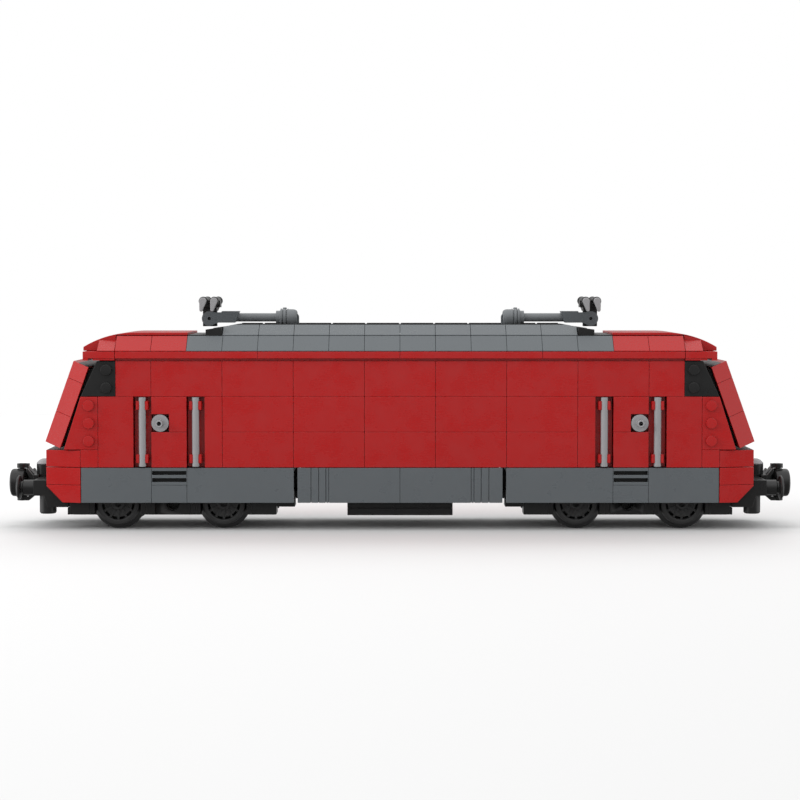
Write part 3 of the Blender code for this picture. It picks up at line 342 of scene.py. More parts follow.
def moulded(name, colour, rough, specular=0.5, metal=0.0, tone=0.025, wave=0.09):
    """Moulded plastic or metal: bricks a shade apart, worn edges, painted shade in seams, scratches, flow
    waves.
    """
    material = bpy.data.materials.new(name)
    material.use_nodes = True
    tree = material.node_tree
    shader = tree.nodes["Principled BSDF"]
    link = tree.links.new
    place = add_node(tree, "ShaderNodeTexCoord").outputs["Object"]
    geometry = add_node(tree, "ShaderNodeNewGeometry")

    brick = remapped(tree, geometry.outputs["Random Per Island"], 0, 1, 1 - tone / 2, 1 + tone / 2)
    cloud = remapped(tree, noise(tree, place, 45.0), 0.3, 0.7, 0.985, 1.015)
    shade = add_node(tree, "ShaderNodeHueSaturation", {"Color": (*colour, 1.0)})
    link(maths(tree, "MULTIPLY", brick, cloud), shade.inputs["Value"])

    rounded = add_node(tree, "ShaderNodeBevel", {"Radius": 0.0004}, samples=4)
    facing = add_node(tree, "ShaderNodeVectorMath", operation="DOT_PRODUCT")
    link(rounded.outputs["Normal"], facing.inputs[0])
    link(geometry.outputs["Normal"], facing.inputs[1])
    edge = remapped(tree, facing.outputs["Value"], 1.0, 0.93, 0.0, 1.0)
    rubbed = remapped(tree, noise(tree, place, 260.0), 0.42, 0.66, 0.0, 1.0)
    wear = maths(tree, "MULTIPLY", edge, rubbed)
    pale = tuple(min(1.0, channel * 1.25 + 0.02) for channel in colour)
    worn = blended(tree, maths(tree, "MULTIPLY", wear, 0.4), shade.outputs["Color"], (*pale, 1.0))

    # Painted shade: ambient occlusion darkens the colour in seams and crevices towards a dark tone.
    crevice = add_node(tree, "ShaderNodeAmbientOcclusion", {"Distance": 0.0015}, samples=4)
    painted_seam_shade = remapped(tree, crevice.outputs["AO"], 0.7, 0.2, 0.0, 0.18)
    dark = tuple(channel * 0.35 for channel in colour)
    link(blended(tree, painted_seam_shade, worn, (*dark, 1.0)), shader.inputs["Base Color"])

    stretch = add_node(tree, "ShaderNodeMapping", {"Scale": (0.25, 1.0, 3.0), "Rotation": (0.2, 0.4, 0.3)})
    link(place, stretch.inputs["Vector"])
    scratch = remapped(tree, noise(tree, stretch.outputs["Vector"], 1400.0, 2.0), 0.55, 0.75, 0.0, 0.1)
    smear = remapped(tree, noise(tree, place, 120.0), 0.3, 0.7, rough - 0.05, rough + 0.07)
    mixed = maths(tree, "ADD", maths(tree, "ADD", smear, scratch), maths(tree, "MULTIPLY", wear, 0.15))
    link(mixed, shader.inputs["Roughness"])

    flow = add_node(tree, "ShaderNodeBump", {"Strength": wave, "Distance": 0.0006})
    link(noise(tree, place, 70.0, 1.5), flow.inputs["Height"])
    grain = add_node(tree, "ShaderNodeBump", {"Strength": 0.12, "Distance": 0.00004})
    link(noise(tree, place, 2600.0, 2.0), grain.inputs["Height"])
    link(flow.outputs["Normal"], grain.inputs["Normal"])
    link(grain.outputs["Normal"], shader.inputs["Normal"])
    shader.inputs["Metallic"].default_value = metal
    shader.inputs["Specular IOR Level"].default_value = specular
    return material


FINISHES = {
    "red": (moulded("red_abs", (0.345, 0.005, 0.005), 0.27), "red_plastic"),
    "grey": (moulded("dark_grey_abs", (0.09, 0.1005, 0.108), 0.3), "grey_plastic"),
    # The same grey plastic painted lighter for the pantograph rod: a painted highlight.
    "highlit_grey": (moulded("painted_highlight_grey_abs", (0.134, 0.143, 0.15), 0.3), "grey_plastic"),
    "black": (moulded("black_abs", (0.0125, 0.0125, 0.0125), 0.3), "black_plastic"),
    "tyre": (moulded("wheel_black", (0.024, 0.024, 0.024), 0.42), "black_plastic"),
    "pale": (moulded("light_grey_abs", (0.25, 0.247, 0.254), 0.3), "light_grey_plastic"),
    "glass": (
        moulded("dark_glazing", (0.0105, 0.0115, 0.013), 0.08, 0.7, tone=0.0, wave=0.12),
        "dark_glazing",
    ),
    "steel": (moulded("axle_steel", (0.55, 0.55, 0.56), 0.24, metal=1.0), "steel"),
}


# ---- Side walls -----------------------------------------------------------------------------
def wall_tile(low, high, bottom, top):
    """A tile standing on edge, given in studs along the wall and millimetres of height."""
    return block(studs(low, high), (TILE_BACK, FACE), (bottom + SEAM / 3, top - SEAM / 3))


def wall_stud(x, z):
    profile = [(0, FACE - 0.5), (STUD_RADIUS, FACE - 0.5)]
    profile += [(STUD_RADIUS, FACE + STUD_HEIGHT), (0, FACE + STUD_HEIGHT)]
    return lathe(profile, (x, 0, z), "y", SMALL_ROUND, 0.2)


def side_walls():
    long_tiles = {"lower": [(2, 6), (6, 10)], "middle": [(2, 6), (6, 10)]}
    long_tiles["top"] = [(2, 6), (6, 10), (10, 14), (14, 16)]
    for side_name, side in SIDES.items():
        node = f"side_wall_{side_name}"
        for row, (bottom, top) in ROWS.items():
            tiles = [wall_tile(-2, 2, bottom, top)]
            for low, high in long_tiles[row]:
                tiles.append(wall_tile(low, high, bottom, top))
                tiles.append(wall_tile(-high, -low, bottom, top))
            piece(f"wall_tiles_{row}_{side_name}", "red", "car_body", tiles, [node], side=side)
        bricks = []
        for level in (32.3, 41.9, 51.5, 61.1):
            for cell in range(-4, 4):
                along = studs(4 * cell, 4 * cell + 4)
                bricks.append(block(along, CORE, (level, level + 9.5), GAP))
        bricks.append(block((-CAB_WALL_END, CAB_WALL_END), CORE, (70.7, 77.5), GAP))
        bricks.append(block((-87.9, 87.9), LAYER, WALL_INSIDE, GAP))
        piece(f"wall_core_{side_name}", "red", "car_body", bricks, [node], side=side)


def cab_sides():
    for corner, _, end, side_name, side in corners():
        node = [f"side_wall_{side_name}"]
        make = {"end": end, "side": side}
        low_row, middle_row = ROWS["lower"], ROWS["middle"]
        knob_low, knob_high = middle_row[0], middle_row[0] + STUD
        elbow = [
            (12 * STUD + SEAM, middle_row[0] + SEAM),
            (13 * STUD - SEAM, middle_row[0] + SEAM),
            (13 * STUD - SEAM, knob_high + SEAM),
            (14 * STUD - SEAM, knob_high + SEAM),
            (14 * STUD - SEAM, middle_row[1] - SEAM),
            (12 * STUD + SEAM, middle_row[1] - SEAM),
        ]
        door = [prism(elbow, "y", TILE_BACK, FACE), wall_tile(12, 14, *low_row)]
        piece(f"door_tiles_{corner}", "red", "car_body", door, node, **make)
        upright = [
            wall_tile(10, 11, low_row[0], middle_row[1]),
            wall_tile(15, 17, low_row[0], middle_row[1]),
            wall_tile(17, 18, low_row[0], low_row[0] + STUD),
        ]
        piece(f"cab_tiles_{corner}", "red", "car_body", upright, node, **make)

        bottom, top = WALL_INSIDE
        row_top = (DOOR_INSIDE[1] + 2 * GAP, top)
        layer = [
            block(studs(12, 13, GAP), LAYER, WALL_INSIDE, GAP),
            block(studs(13, 14, GAP), LAYER, (bottom, knob_low - GAP), GAP),
            block(studs(13, 14, GAP), LAYER, (knob_high + GAP, top), GAP),
            block(studs(11, 12, GAP), LAYER, row_top, GAP),
            block(studs(14, 15, GAP), LAYER, row_top, GAP),
        ]
        slant = [(120.1, 28.9), (143.6, 28.9), (143.6, 37.0), (150.8, 37.0), (143.3, 60.7), (120.1, 60.7)]
        layer.append(prism(slant, "y", *LAYER, edge=GAP))
        for place in (RAILS["inner"], RAILS["outer"]):
            recess = (LAYER[0], TILE_BACK - 0.8)
            layer.append(block((place - 3.85, place + 3.85), recess, DOOR_INSIDE, GAP))
        piece(f"cab_plates_{corner}", "red", "car_body", layer, node, **make)

        wedge = [(136 + SEAM, 36.8 + SEAM), (151.4, 36.8 + SEAM), (143.75, 60.7), (136 + SEAM, 60.7)]
        shapes = [prism(wedge, "y", TILE_BACK, FACE)]
        shapes += [wall_stud(140.0, height) for height in WEDGE_STUD_HEIGHTS]
        piece(f"cab_wedge_{corner}", "red", "car_body", shapes, node, **make)

        pane = [(128 + SEAM, 60.8 + SEAM), (143.6, 60.8 + SEAM), (136.3, 76.7), (128 + SEAM, 76.7)]
        shapes = [prism(pane, "y", LAYER[0], FACE)]
        shapes += [wall_stud(132.0, height) for height in WINDOW_STUD_HEIGHTS]
        piece(f"quarter_window_{corner}", "black", "car_body", shapes, node, **make)

        clips = []
        for place in (RAILS["inner"], RAILS["outer"]):
            for height in CLIP_HEIGHTS:
                clips += handrail_clip(place, height)
        piece(f"handrail_clips_{corner}", "red", "car_body", clips, node, **make)
        knob = [
            (0, LAYER[0]),
            (3.9, LAYER[0]),
            (3.9, FACE),
            (1.6, FACE),
            (1.6, 35.0),
            (0.95, 35.0),
            (0.95, FACE - 1.0),
            (0, FACE - 1.0),
        ]
        shapes = [lathe(knob, KNOB_PLACE, "y", ROUND, 0.16)]
        piece(f"door_knob_{corner}", "pale", "car_body", shapes, node, **make)
        for place_name, place in RAILS.items():
            name = f"handrail_{corner}_{place_name}"
            bar = [rod(RAIL_RADIUS, (place, RAIL_Y, 0), "z", 29.1, 60.5, 0.35)]
            piece(f"rail_{corner}_{place_name}", "pale", "car_body", bar, [name], **make)


def handrail_clip(x, z):
    """Two jaws that curl round the bar, on a short stem."""
    centre = (x, RAIL_Y)
    outline = arc(centre, 2.9, 150, 390, 20) + arc(centre, 1.66, 402, 138, 20)
    jaws = prism(outline, "z", z - 1.95, z + 1.95, 0.14)
    stem = block((x - 1.4, x + 1.4), (26.2, 28.2), (z - 1.8, z + 1.8), 0.1)
    return [jaws, stem]


# ---- Skirts ---------------------------------------------------------------------------------
def skirts():
    bottom, top = SKIRT_BOTTOM, SKIRT_TOP
    inside = (bottom + GAP, top - GAP)
    for corner, end_name, end, side_name, side in corners():
        body = f"bogie_{end_name}"
        node = [f"bogie_skirt_{end_name}_{side_name}"]
        make = {"end": end, "side": side}
        backing = [block((48.1, 143.6), (25.3, LAYER[1]), inside, GAP)]
        piece(f"skirt_backing_{corner}", "black", body, backing, node, **make)
        tiles = [
            block((47.9, 96 - SEAM), (TILE_BACK, FACE), (bottom, top)),
            block((112 + SEAM, 143.7), (TILE_BACK, FACE), (bottom, top)),
            block(studs(12, 14), (TILE_BACK, FACE), (bottom, SKIRT_HALF - SEAM)),
        ]
        piece(f"skirt_tiles_{corner}", "grey", body, tiles, node, **make)
        plate = block(studs(12, 14), (TILE_BACK, FACE), (SKIRT_HALF + SEAM, top), 0)
        cuts = []
        for low in SKIRT_SLOTS:
            cuts.append(block((96.25, 111.75), (TILE_BACK - 1, FACE + 1), (low, low + SLOT_HEIGHT), 0))
        grille = softened(carved(plate, cuts), GAP)
        piece(f"skirt_grille_{corner}", "grey", body, [grille], node, **make)
    for side_name, side in SIDES.items():
        shapes = []
        for hand in (-1, 1):
            spans = [(SEAM, 32.0, 0.0), (32.15, 33.3, 0.12), (33.5, 36.5, 0.0), (36.7, 40.0, 0.06)]
            for low, high, sunk in spans:
                along = tuple(sorted((hand * low, hand * high)))
                shapes.append(block(along, (TILE_BACK, FACE - sunk), (bottom, top)))
            wing = [(40.2, TILE_BACK), (40.2, FACE), (46.2, FACE), (46.2, FACE - 0.5), (44.6, TILE_BACK)]
            shapes.append(prism([(hand * x, y) for x, y in wing], "z", bottom, top))
        shapes.append(block((-43.0, 43.0), (24.1, LAYER[1]), inside, GAP))
        node = [f"middle_skirt_{side_name}"]
        piece(f"middle_skirt_tiles_{side_name}", "grey", "car_body", shapes, node, side=side)


# ---- Floor and tank -------------------------------------------------------------------------
def floor_and_tank():
    shapes = []
    for cell in range(-4, 5):
        middle = cell * LONG_BRICK
        low, high = max(-FLOOR_END, middle - BRICK), min(FLOOR_END, middle + BRICK)
        shapes.append(block((low + SEAM, high - SEAM), WIDE, (28.8, 31.9), 0.12))
    boss = [(0, 24.9), (3.9, 24.9), (3.9, 29.5), (0, 29.5)]
    for end in ENDS.values():
        shapes.append(lathe(boss, (end * BOGIE_X, 0, 0), "z", ROUND))
    piece("floor_plates", "black", "car_body", shapes, ["main_floor"])
    tank = [
        block((-24, 24), WIDE, (16.2, 28.4), 0.25),
        block((-23.9, 23.9), (-23.5, 23.5), (9.8, 16.0), 0.2),
        block((-23.9, 23.9), WIDE, (6.5, 9.7), 0.15),
    ]
    piece("tank_bricks", "black", "car_body", tank, ["equipment_tank"])


# ---- Roof -----------------------------------------------------------------------------------
def roof():
    for side_name, side in SIDES.items():
        node = [f"roof_side_{side_name}"]
        eaves = []
        for low, high in ((-128, -64), (-64, 0), (0, 64), (64, 128)):
            eaves.append(block((low + SEAM, high - SEAM), (20.5, EAVE_FACE), EAVES))
        eaves.append(block((-CAB_WALL_END, CAB_WALL_END), (24.3, 29.4), (76.75, 78.1), GAP))
        piece(f"eave_plates_{side_name}", "red", "car_body", eaves, node, side=side)
        grey = [block((-95.9, 95.9), (16.4, 20.4), (78.1, 87.8), GAP)]
        for cell in range(-6, 6):
            grey.append(prism(BRICK_SLOPES, "x", *studs(2 * cell, 2 * cell + 2)))
        piece(f"lower_slopes_{side_name}", "grey", "car_body", grey, node, side=side)
        for end_name, end in ENDS.items():
            red = [block((96.1, 127.9), (16.4, 20.4), (78.1, 87.8), GAP)]
            for low in (12, 14):
                red.append(prism(BRICK_SLOPES, "x", *studs(low, low + 2)))
            name = f"lower_slopes_{end_name}_{side_name}"
            piece(name, "red", "car_body", red, node, end=end, side=side)
        crest = ["roof_centre"]
        piece(f"upper_slopes_{side_name}", "grey", "car_body", upper_slopes(), crest, side=side)
        piece(f"crest_rim_{side_name}", "black", "car_body", crest_rim(), crest, side=side)
    channel = []
    for low, high in ((-CREST_END, -48), (-48, -16), (-16, 16), (16, 48), (48, CREST_END)):
        channel.append(block((low + SEAM, high - SEAM), (-14.9, 14.9), (CREST_BASE, 91.1), 0.15))
    piece("crest_channel", "black", "car_body", channel, ["roof_centre"])
    for end_name, end in ENDS.items():
        x, z = ARM_PIVOT
        outline = [(x + 2.3, 90.2)] + arc(ARM_PIVOT, 2.3, 0, 180, 20) + [(x - 2.3, 90.2)]
        bore = rod(1.5, (x, 0, z), "y", -3, 3, 0)
        lug = [softened(carved(prism(outline, "y", -1.1, 1.1, 0), [bore]), 0.12)]
        lug.append(block((x - 3.9, x + 3.9), (-3.9, 3.9), (90.6, 91.5), 0.2))
        piece(f"pantograph_lug_{end_name}", "grey", "car_body", lug, ["roof_centre"], end=end)
    deck = []
    for low, high in ((-96, -64), (-64, -32), (-32, 0), (0, 32), (32, 64), (64, 96)):
        deck.append(block((low + SEAM, high - SEAM), (-16.0, 16.0), (84.8, 87.9), 0.12))
    for end in ENDS.values():
        along = sorted((end * 80.7, end * 95.9))
        deck.append(block(along, (-23.9, 23.9), (88.05, 88.5), GAP))
    piece("deck_plates", "black", "car_body", deck, ["roof_deck"])
    for end_name, end in ENDS.items():
        piece(f"roof_grille_{end_name}", "black", "car_body", roof_grille(), ["roof_deck"], end=end)


def upper_slopes():
    """One side of the raised crest: five slopes each way, the last cut down towards the cab."""
    ridge = [(16.05, 88.3), (24.0, 88.05), (24.0, 88.45), (16.05, 93.0)]
    shapes = [prism(ridge, "x", *studs(low, low + 2), edge=0.2) for low in range(-8, 8, 2)]
    falling = [(CREST_END, 93.05), (82.0, 91.7), (82.0, 95.0), (CREST_END, 95.0)]
    for end in ENDS.values():
        last = prism(ridge, "x", *sorted((end * (64 + SEAM), end * 80.3)), edge=0)
        above = prism([(end * x, z) for x, z in falling], "y", 10, 30, 0)
        shapes.append(softened(carved(last, [above]), 0.2))
    return shapes


def crest_rim():
    """Narrow black ends of the slopes along the crest's edge, with a notch at every joint."""
    shoulder, top, notch = 92.6, 93.25, 0.5
    shapes = [block((-CREST_END, CREST_END), (14.95, 15.3), (CREST_BASE, 92.5), GAP)]
    for cell in range(-5, 5):
        low, high = studs(2 * cell, 2 * cell + 2)
        low, high = max(low, -CREST_END), min(high, CREST_END)
        outline = [(low, CREST_BASE), (high, CREST_BASE), (high, shoulder)]
        outline += [(high - notch, top), (low + notch, top), (low, shoulder)]
        shapes.append(prism(outline, "y", 15.3, 16.0, 0.06))
    return shapes


def grille_slope(head, lip, top, bars):
    """Outline of one grille slope from its lip back to `head`, with bars across the falling top."""
    foot, base, tooth, share = 87.9, 88.3, 0.45, 0.55
    outline = [(head, base), (foot, base)]
    run = (foot - head) / bars
    rise = (top - tooth - lip) / bars
    for bar in range(bars):
        x, z = foot - bar * run, lip - tooth + bar * rise
        back, up = x - share * run, z + share * rise
        outline += [(x, z + tooth), (back, up + tooth), (back, up)]
    outline.append((head, top - tooth))
    return outline


def roof_grille():
    """Six grille slopes side by side. The outer two start beyond the crest's last slope."""
    long_slope = grille_slope(75.0, 90.3, 93.1, 8)
    short_slope = grille_slope(80.6, 90.8, 92.3, 5)
    shapes = []
    for slope, places in ((long_slope, (-2, -1, 0, 1)), (short_slope, (-3, 2))):
        for low in places:
            shapes.append(prism(slope, "y", *studs(low, low + 1), edge=0.06))
    return shapes


def cab_roofs():
    top, bend, front, radius = 89.5, 120.0, 143.2, 44.4
    drop = math.degrees(math.asin((front - bend) / radius))
    curve = arc((bend, top - radius), radius, 90, 90 - drop, 20)
    for end_name, end in ENDS.items():
        node = [f"cab_roof_{end_name}"]
        outline = [(96 + SEAM, 88.3), (96 + SEAM, top)] + curve
        outline += [(front, 81.25), (128.4, 81.25), (128.4, 88.3)]
        strips = []
        for low in (-3, -1, 1):
            strips.append(prism(outline, "y", *studs(low, low + 2)))
        piece(f"cab_roof_curve_{end_name}", "red", "car_body", strips, node, end=end)
        lip = across(block((128.15, LIP_FRONT), (SEAM, EAVE_FACE), EAVES))
        lip.append(block((128.2, 138.0), (-31.4, 31.4), (77.1, 78.05), GAP))
        lip.append(block((140.0, LIP_FRONT), (-31.9, 31.9), (77.1, 78.05), GAP))
        piece(f"cab_roof_lip_{end_name}", "red", "car_body", lip, node, end=end)
        slope = [(24.15, 81.25), (31.85, 81.25), (32.0, 81.5), (24.4, 86.0), (24.15, 86.0)]
        shapes = across(prism(slope, "x", 128.15, 136 - SEAM))
        piece(f"corner_slopes_{end_name}", "red", "car_body", shapes, node, end=end)
        ceiling = [block((128.4, 136.0), WIDE, (73.5, 77.2), 0.15)]
        ceiling.append(block((120.0, 128.2), (-17.6, 17.6), (73.5, 78.0), 0.15))
        piece(f"cab_ceiling_{end_name}", "black", "car_body", ceiling, node, end=end)


# ---- Nose and leaning panel -----------------------------------------------------------------
def panel_point(out, down):
    up = PANEL_LENGTH - down
    return (
        PANEL_FOOT[0] + out * math.cos(PANEL_TILT) - up * math.sin(PANEL_TILT),
        PANEL_FOOT[1] + out * math.sin(PANEL_TILT) + up * math.cos(PANEL_TILT),
    )


def panel_slab(section, top, bottom, edge=EDGE):
    """A bar of the leaning panel. The section's points are (out, across)."""
    shape = bmesh.new()
    rings = []
    for down in (top, bottom):
        ring = []
        for out, y in section:
            x, z = panel_point(out, down)
            ring.append(shape.verts.new((x, y, z)))
        rings.append(ring)
    shape.faces.new(rings[0])
    shape.faces.new(rings[1])
    count = len(section)
    for index in range(count):
        after = (index + 1) % count
        shape.faces.new((rings[0][index], rings[1][index], rings[1][after], rings[0][after]))
    bmesh.ops.recalc_face_normals(shape, faces=shape.faces)
    return softened(mesh_of(shape), edge)


def noses():
    for end_name, end in ENDS.items():
        node = [f"cab_nose_{end_name}"]
        skin = [(144 + SEAM, 24.6), (144 + SEAM, FACE), (NOSE_TIP, 26.4), (NOSE_TIP, 25.2), (159.16, 24.6)]
        lower = [(144 + SEAM, 18.2), (144 + SEAM, 24.5), (159.0, 24.5), (150.2, 18.2)]
        upper = [(144 + SEAM, 18.2), (144 + SEAM, 24.5), (159.9, 24.5), (159.9, 18.2)]
        shapes = across(prism(skin, "z", 28.9, 36.5))
        shapes += across(prism(lower, "z", 28.9, 31.8, GAP)) + across(prism(upper, "z", 31.9, 36.5, GAP))
        shapes.append(block((144.1, 156.2), (-18.0, 18.0), (28.9, 31.8)))
        for low in (-18.0, 0.0):
            shapes.append(block((144.1, NOSE_TIP), (low + SEAM, low + 18 - SEAM), (31.9, 36.5)))
        piece(f"nose_bricks_{end_name}", "red", "car_body", shapes, node, end=end)
        back, front = -7.0, -3.0
        wall = [panel_point(front, PANEL_LENGTH), panel_point(front, 1.0), panel_point(back, 1.0)]
        wall += [(144.2, 36.8)]
        shapes = [prism(wall, "y", low + SEAM, low + 15.8 - SEAM) for low in (-23.7, -7.9, 7.9)]
        # Painted shade: a thin black sheet over the red nose top, where the top would otherwise show lit.
        deck = [(144.4, -29.8), (159.7, -25.9), (159.7, 25.9), (144.4, 29.8)]
        shapes.append(prism(deck, "z", 36.3, 36.56, 0.05))
        piece(f"nose_bulkhead_{end_name}", "black", "car_body", shapes, node, end=end)
        ring = arc(PANEL_HINGE, 2.7, -20, 200, 20) + arc(PANEL_HINGE, 1.95, 200, -20, 20)
        clips = []
        for y in (-12.0, 12.0):
            clips.append(prism(ring, "y", y - 1.8, y + 1.8, GAP))
            clips.append(block((150.5, 151.2), (y - 1.8, y + 1.8), (36.2, 38.6), GAP))
        piece(f"panel_clips_{end_name}", "red", "car_body", clips, node, end=end)


def panels():
    thick = PANEL_THICKNESS
    rows = ((0.0, 8.0), (8.0, 24.0), (24.0, PANEL_LENGTH))
    glass_top, glass_bottom = PANEL_LENGTH - 35.0, PANEL_LENGTH - 19.0
    for end_name, end in ENDS.items():
        body = f"windscreen_panel_{end_name}"
        node = [f"windscreen_frame_{end_name}"]
        cheek = [(0.0, 21.3), (0.0, 29.6), (thick, 24.0), (thick, 21.3)]
        flanks = []
        for top, bottom in rows:
            flanks += across(panel_slab(cheek, top + SEAM / 2, bottom - SEAM / 2))
        piece(f"panel_slopes_{end_name}", "red", body, flanks, node, end=end)
        front = [(0.2, -21.2), (thick, -21.2), (thick, 21.2), (0.2, 21.2)]
        shapes = [panel_slab(front, SEAM / 2, glass_top)]
        for low in (-21.2, 0.0):
            near, far = low + SEAM, low + 21.2 - SEAM
            tile = [(0.2, near), (thick, near), (thick, far), (0.2, far)]
            shapes.append(panel_slab(tile, glass_bottom, PANEL_LENGTH - 4.0))
        sill = [(2.9, -9.8), (thick, -9.8), (thick, 9.8), (2.9, 9.8)]
        shapes.append(panel_slab(sill, PANEL_LENGTH - 3.9, PANEL_LENGTH))
        ends = [(2.9, 14.2), (thick, 14.2), (thick, 21.2), (2.9, 21.2)]
        shapes += across(panel_slab(ends, PANEL_LENGTH - 3.9, PANEL_LENGTH))
        piece(f"panel_front_{end_name}", "red", body, shapes, node, end=end)
        backing = [(-1.4, -23.6), (0.1, -23.6), (0.1, 23.6), (-1.4, 23.6)]
        shapes = [panel_slab(backing, 1.0, PANEL_LENGTH - 3.2)]
        behind = [(0.1, -21.1), (5.0, -21.1), (5.0, 21.1), (0.1, 21.1)]
        shapes.append(panel_slab(behind, glass_top + 0.1, glass_bottom - 0.1, 0.1))
        top_plate = [(0.3, -29.1), (5.2, -25.7), (5.2, 25.7), (0.3, 29.1)]
        shapes.append(panel_slab(top_plate, -0.1, 0.2, 0.05))
        piece(f"panel_backing_{end_name}", "black", body, shapes, node, end=end)
        bar = [rod(1.6, (PANEL_HINGE[0], 0, PANEL_HINGE[1]), "y", -18.0, 18.0)]
        piece(f"panel_hinge_bar_{end_name}", "black", body, bar, node, end=end)
        pane = [(5.2, -20.8), (thick, -20.8), (thick, 20.8), (5.2, 20.8)]
        glass = [panel_slab(pane, glass_top + 0.3, glass_bottom - 0.3, 0.5)]
        piece(f"windscreen_glass_{end_name}", "glass", body, glass, [f"windscreen_{end_name}"], end=end)


# ---- Pantographs ----------------------------------------------------------------------------
def pantographs():
    for end_name, end in ENDS.items():
        arm = f"pantograph_arm_{end_name}"
        head = f"pantograph_head_{end_name}"
        make = {"end": end}
        profile = [
            (0, 47.5),
            (2.7, 47.5),
            (3.4, 47.8),
            (3.85, 48.6),
            (4.0, 49.6),
            (4.0, 52.1),
            (3.5, 52.3),
            (3.5, 52.6),
            (4.2, 52.8),
            (4.2, 53.8),
            (3.6, 54.0),
            (3.6, 54.3),
            (4.1, 54.5),
            (4.1, 55.2),
            (3.3, 55.4),
            (3.1, 55.8),
            (3.1, 57.3),
            (1.95, 57.4),
            (1.95, 75.5),
            (0, 75.5),
        ]
        lug_slot = block((46.0, 51.6), (-1.4, 1.4), (90.0, 102.0), 0)
        shapes = [carved(lathe(profile, (0, 0, ARM_PIVOT[1]), "x", ROUND, GAP), [lug_slot])]
        shapes.append(rod(1.2, (ARM_PIVOT[0], 0, ARM_PIVOT[1]), "y", -3.0, 3.0, 0.15))
        shapes.append(rod(0.9, (53.3, 0, 0), "z", 99.6, 100.6, 0.3, 20))
        # The rod uses the lighter copy of the grey plastic, a painted highlight.
        piece(f"pantograph_rod_{end_name}", "highlit_grey", arm, shapes, [arm], **make)
        holder = [(74.2, 98.9), (75.6, 94.2), (76.4, 93.6), (84.2, 93.6)]
        holder += arc(HEAD_PIVOT, 3.4, -125, 118, 30) + [(84.6, 98.3), (82.4, 98.3), (82.2, 98.9)]
        slot = block((82.2, 93.8), (-2.0, 2.0), (89.7, 101.3), 0)
        clamp = rod(2.2, (0, 0, ARM_PIVOT[1]), "x", 73.5, 75.0, 0)
        pin_place = (HEAD_PIVOT[0], 0, HEAD_PIVOT[1])
        pin_room = rod(0.75, pin_place, "y", -5, 5, 0)
        body = softened(carved(prism(holder, "y", -3.8, 3.8, 0), [slot, clamp, pin_room]), 0.15)
        piece(f"pantograph_holder_{end_name}", "grey", arm, [body], [arm], **make)

        block_part = block((84.6, 91.1), (-1.7, 1.7), (91.9, 101.5), 0.25)
        pin = rod(0.65, pin_place, "y", -2.9, 2.9, 0.1)
        cradle = block((82.9, 92.2), (-3.8, 3.8), (100.7, 103.8), 0)
        grooves = [rod(1.9, (x, 0, STRIP_Z), "y", -5, 5, 0) for x in (STRIPS["inner"], STRIPS["outer"])]
        cradle = softened(carved(cradle, grooves), GAP)
        piece(f"pantograph_block_{end_name}", "black", head, [block_part, pin, cradle], [head], **make)
        for strip_name, x in STRIPS.items():
            node = [f"contact_strip_{end_name}_{strip_name}"]
            bar = rod(1.6, (x, 0, STRIP_Z), "y", -11.9, 11.9, 0.2)
            collars = across(tube(2.08, 0.8, (x, 0, 103.55), "y", 10.2, 11.8, 0.2))
            name = f"contact_bar_{end_name}_{strip_name}"
            piece(name, "black", head, [bar] + collars, node, **make)
            horn = arc((x, 103.55), 1.65, -8, 188, 20)
            horn += arc((x + 0.8, 99.6), 0.8, 188, 352, 12)
            horns = across(prism(horn, "y", 11.9, 14.4, 0.35))
            piece(f"contact_horns_{end_name}_{strip_name}", "pale", head, horns, node, **make)


# ---- Bogies ---------------------------------------------------------------------------------
def bogie_frames():
    for end_name, end in ENDS.items():
        node = [f"bogie_frame_{end_name}"]
        body = f"bogie_{end_name}"
        plates = []
        for low, high in ((49.0, 72.0), (72.0, 136.0), (136.0, 149.6)):
            plates.append(block((low + SEAM, high - SEAM), (-23.7, 23.7), FRAME_PLATE, 0.15))
        bore = rod(4.2, (BOGIE_X, 0, 0), "z", 20, 30, 0)
        middle = block((72 + SEAM, 136 - SEAM), (-23.7, 23.7), FRAME_PLATE, 0)
        plates[1] = softened(carved(middle, [bore]), 0.12)
        for place in (AXLES["inner"], AXLES["outer"]):
            housing = block((place - STUD, place + STUD), (-13.6, 13.6), (6.95, 24.4), 0)
            hole = rod(AXLE_ROOM, (place, 0, AXLE_Z), "y", -20, 20, 0)
            plates.append(softened(carved(housing, [hole]), 0.15))
        piece(f"bogie_plates_{end_name}", "black", body, plates, node, end=end)
        bars = []
        for low, high in ((56.0, 67.4), (92.6, 94.9), (111.1, 115.4), (140.6, 149.6)):
            bars.append(block((low, high), SOLEBAR, SOLEBAR_HEIGHTS))
        for low, high in ((67.5, 69.5), (90.5, 92.5), (115.5, 117.5), (138.5, 140.5)):
            bars.append(block((low, high), (18.3, SOLEBAR[1]), SOLEBAR_HEIGHTS, GAP))
        pierced = block((95.0, 111.0), SOLEBAR, SOLEBAR_HEIGHTS, 0)
        socket = (103.0, 0, 11.7)
        sockets = [rod(2.4, socket, "y", 18, 30, 0), rod(3.1, socket, "y", 24.0, 30, 0)]
        bars.append(softened(carved(pierced, sockets), GAP))
        bars.append(block((47.6, 55.9), (SOLEBAR[0], 24.9), (10.5, 14.1)))
        bars.append(block((149.7, 150.7), SOLEBAR, (SOLEBAR_HEIGHTS[0], 10.1), GAP))
        behind_wheels = block((57.0, 149.3), (13.7, 15.9), (5.95, 24.5), 0)
        axle_rooms = []
        for place in (AXLES["inner"], AXLES["outer"]):
            axle_rooms.append(rod(AXLE_ROOM, (place, 0, AXLE_Z), "y", 12, 18, 0))
        bars.append(softened(carved(behind_wheels, axle_rooms), 0.15))
        solebars = [mesh for bar in bars for mesh in across(bar)]
        piece(f"bogie_solebars_{end_name}", "black", body, solebars, node, end=end)


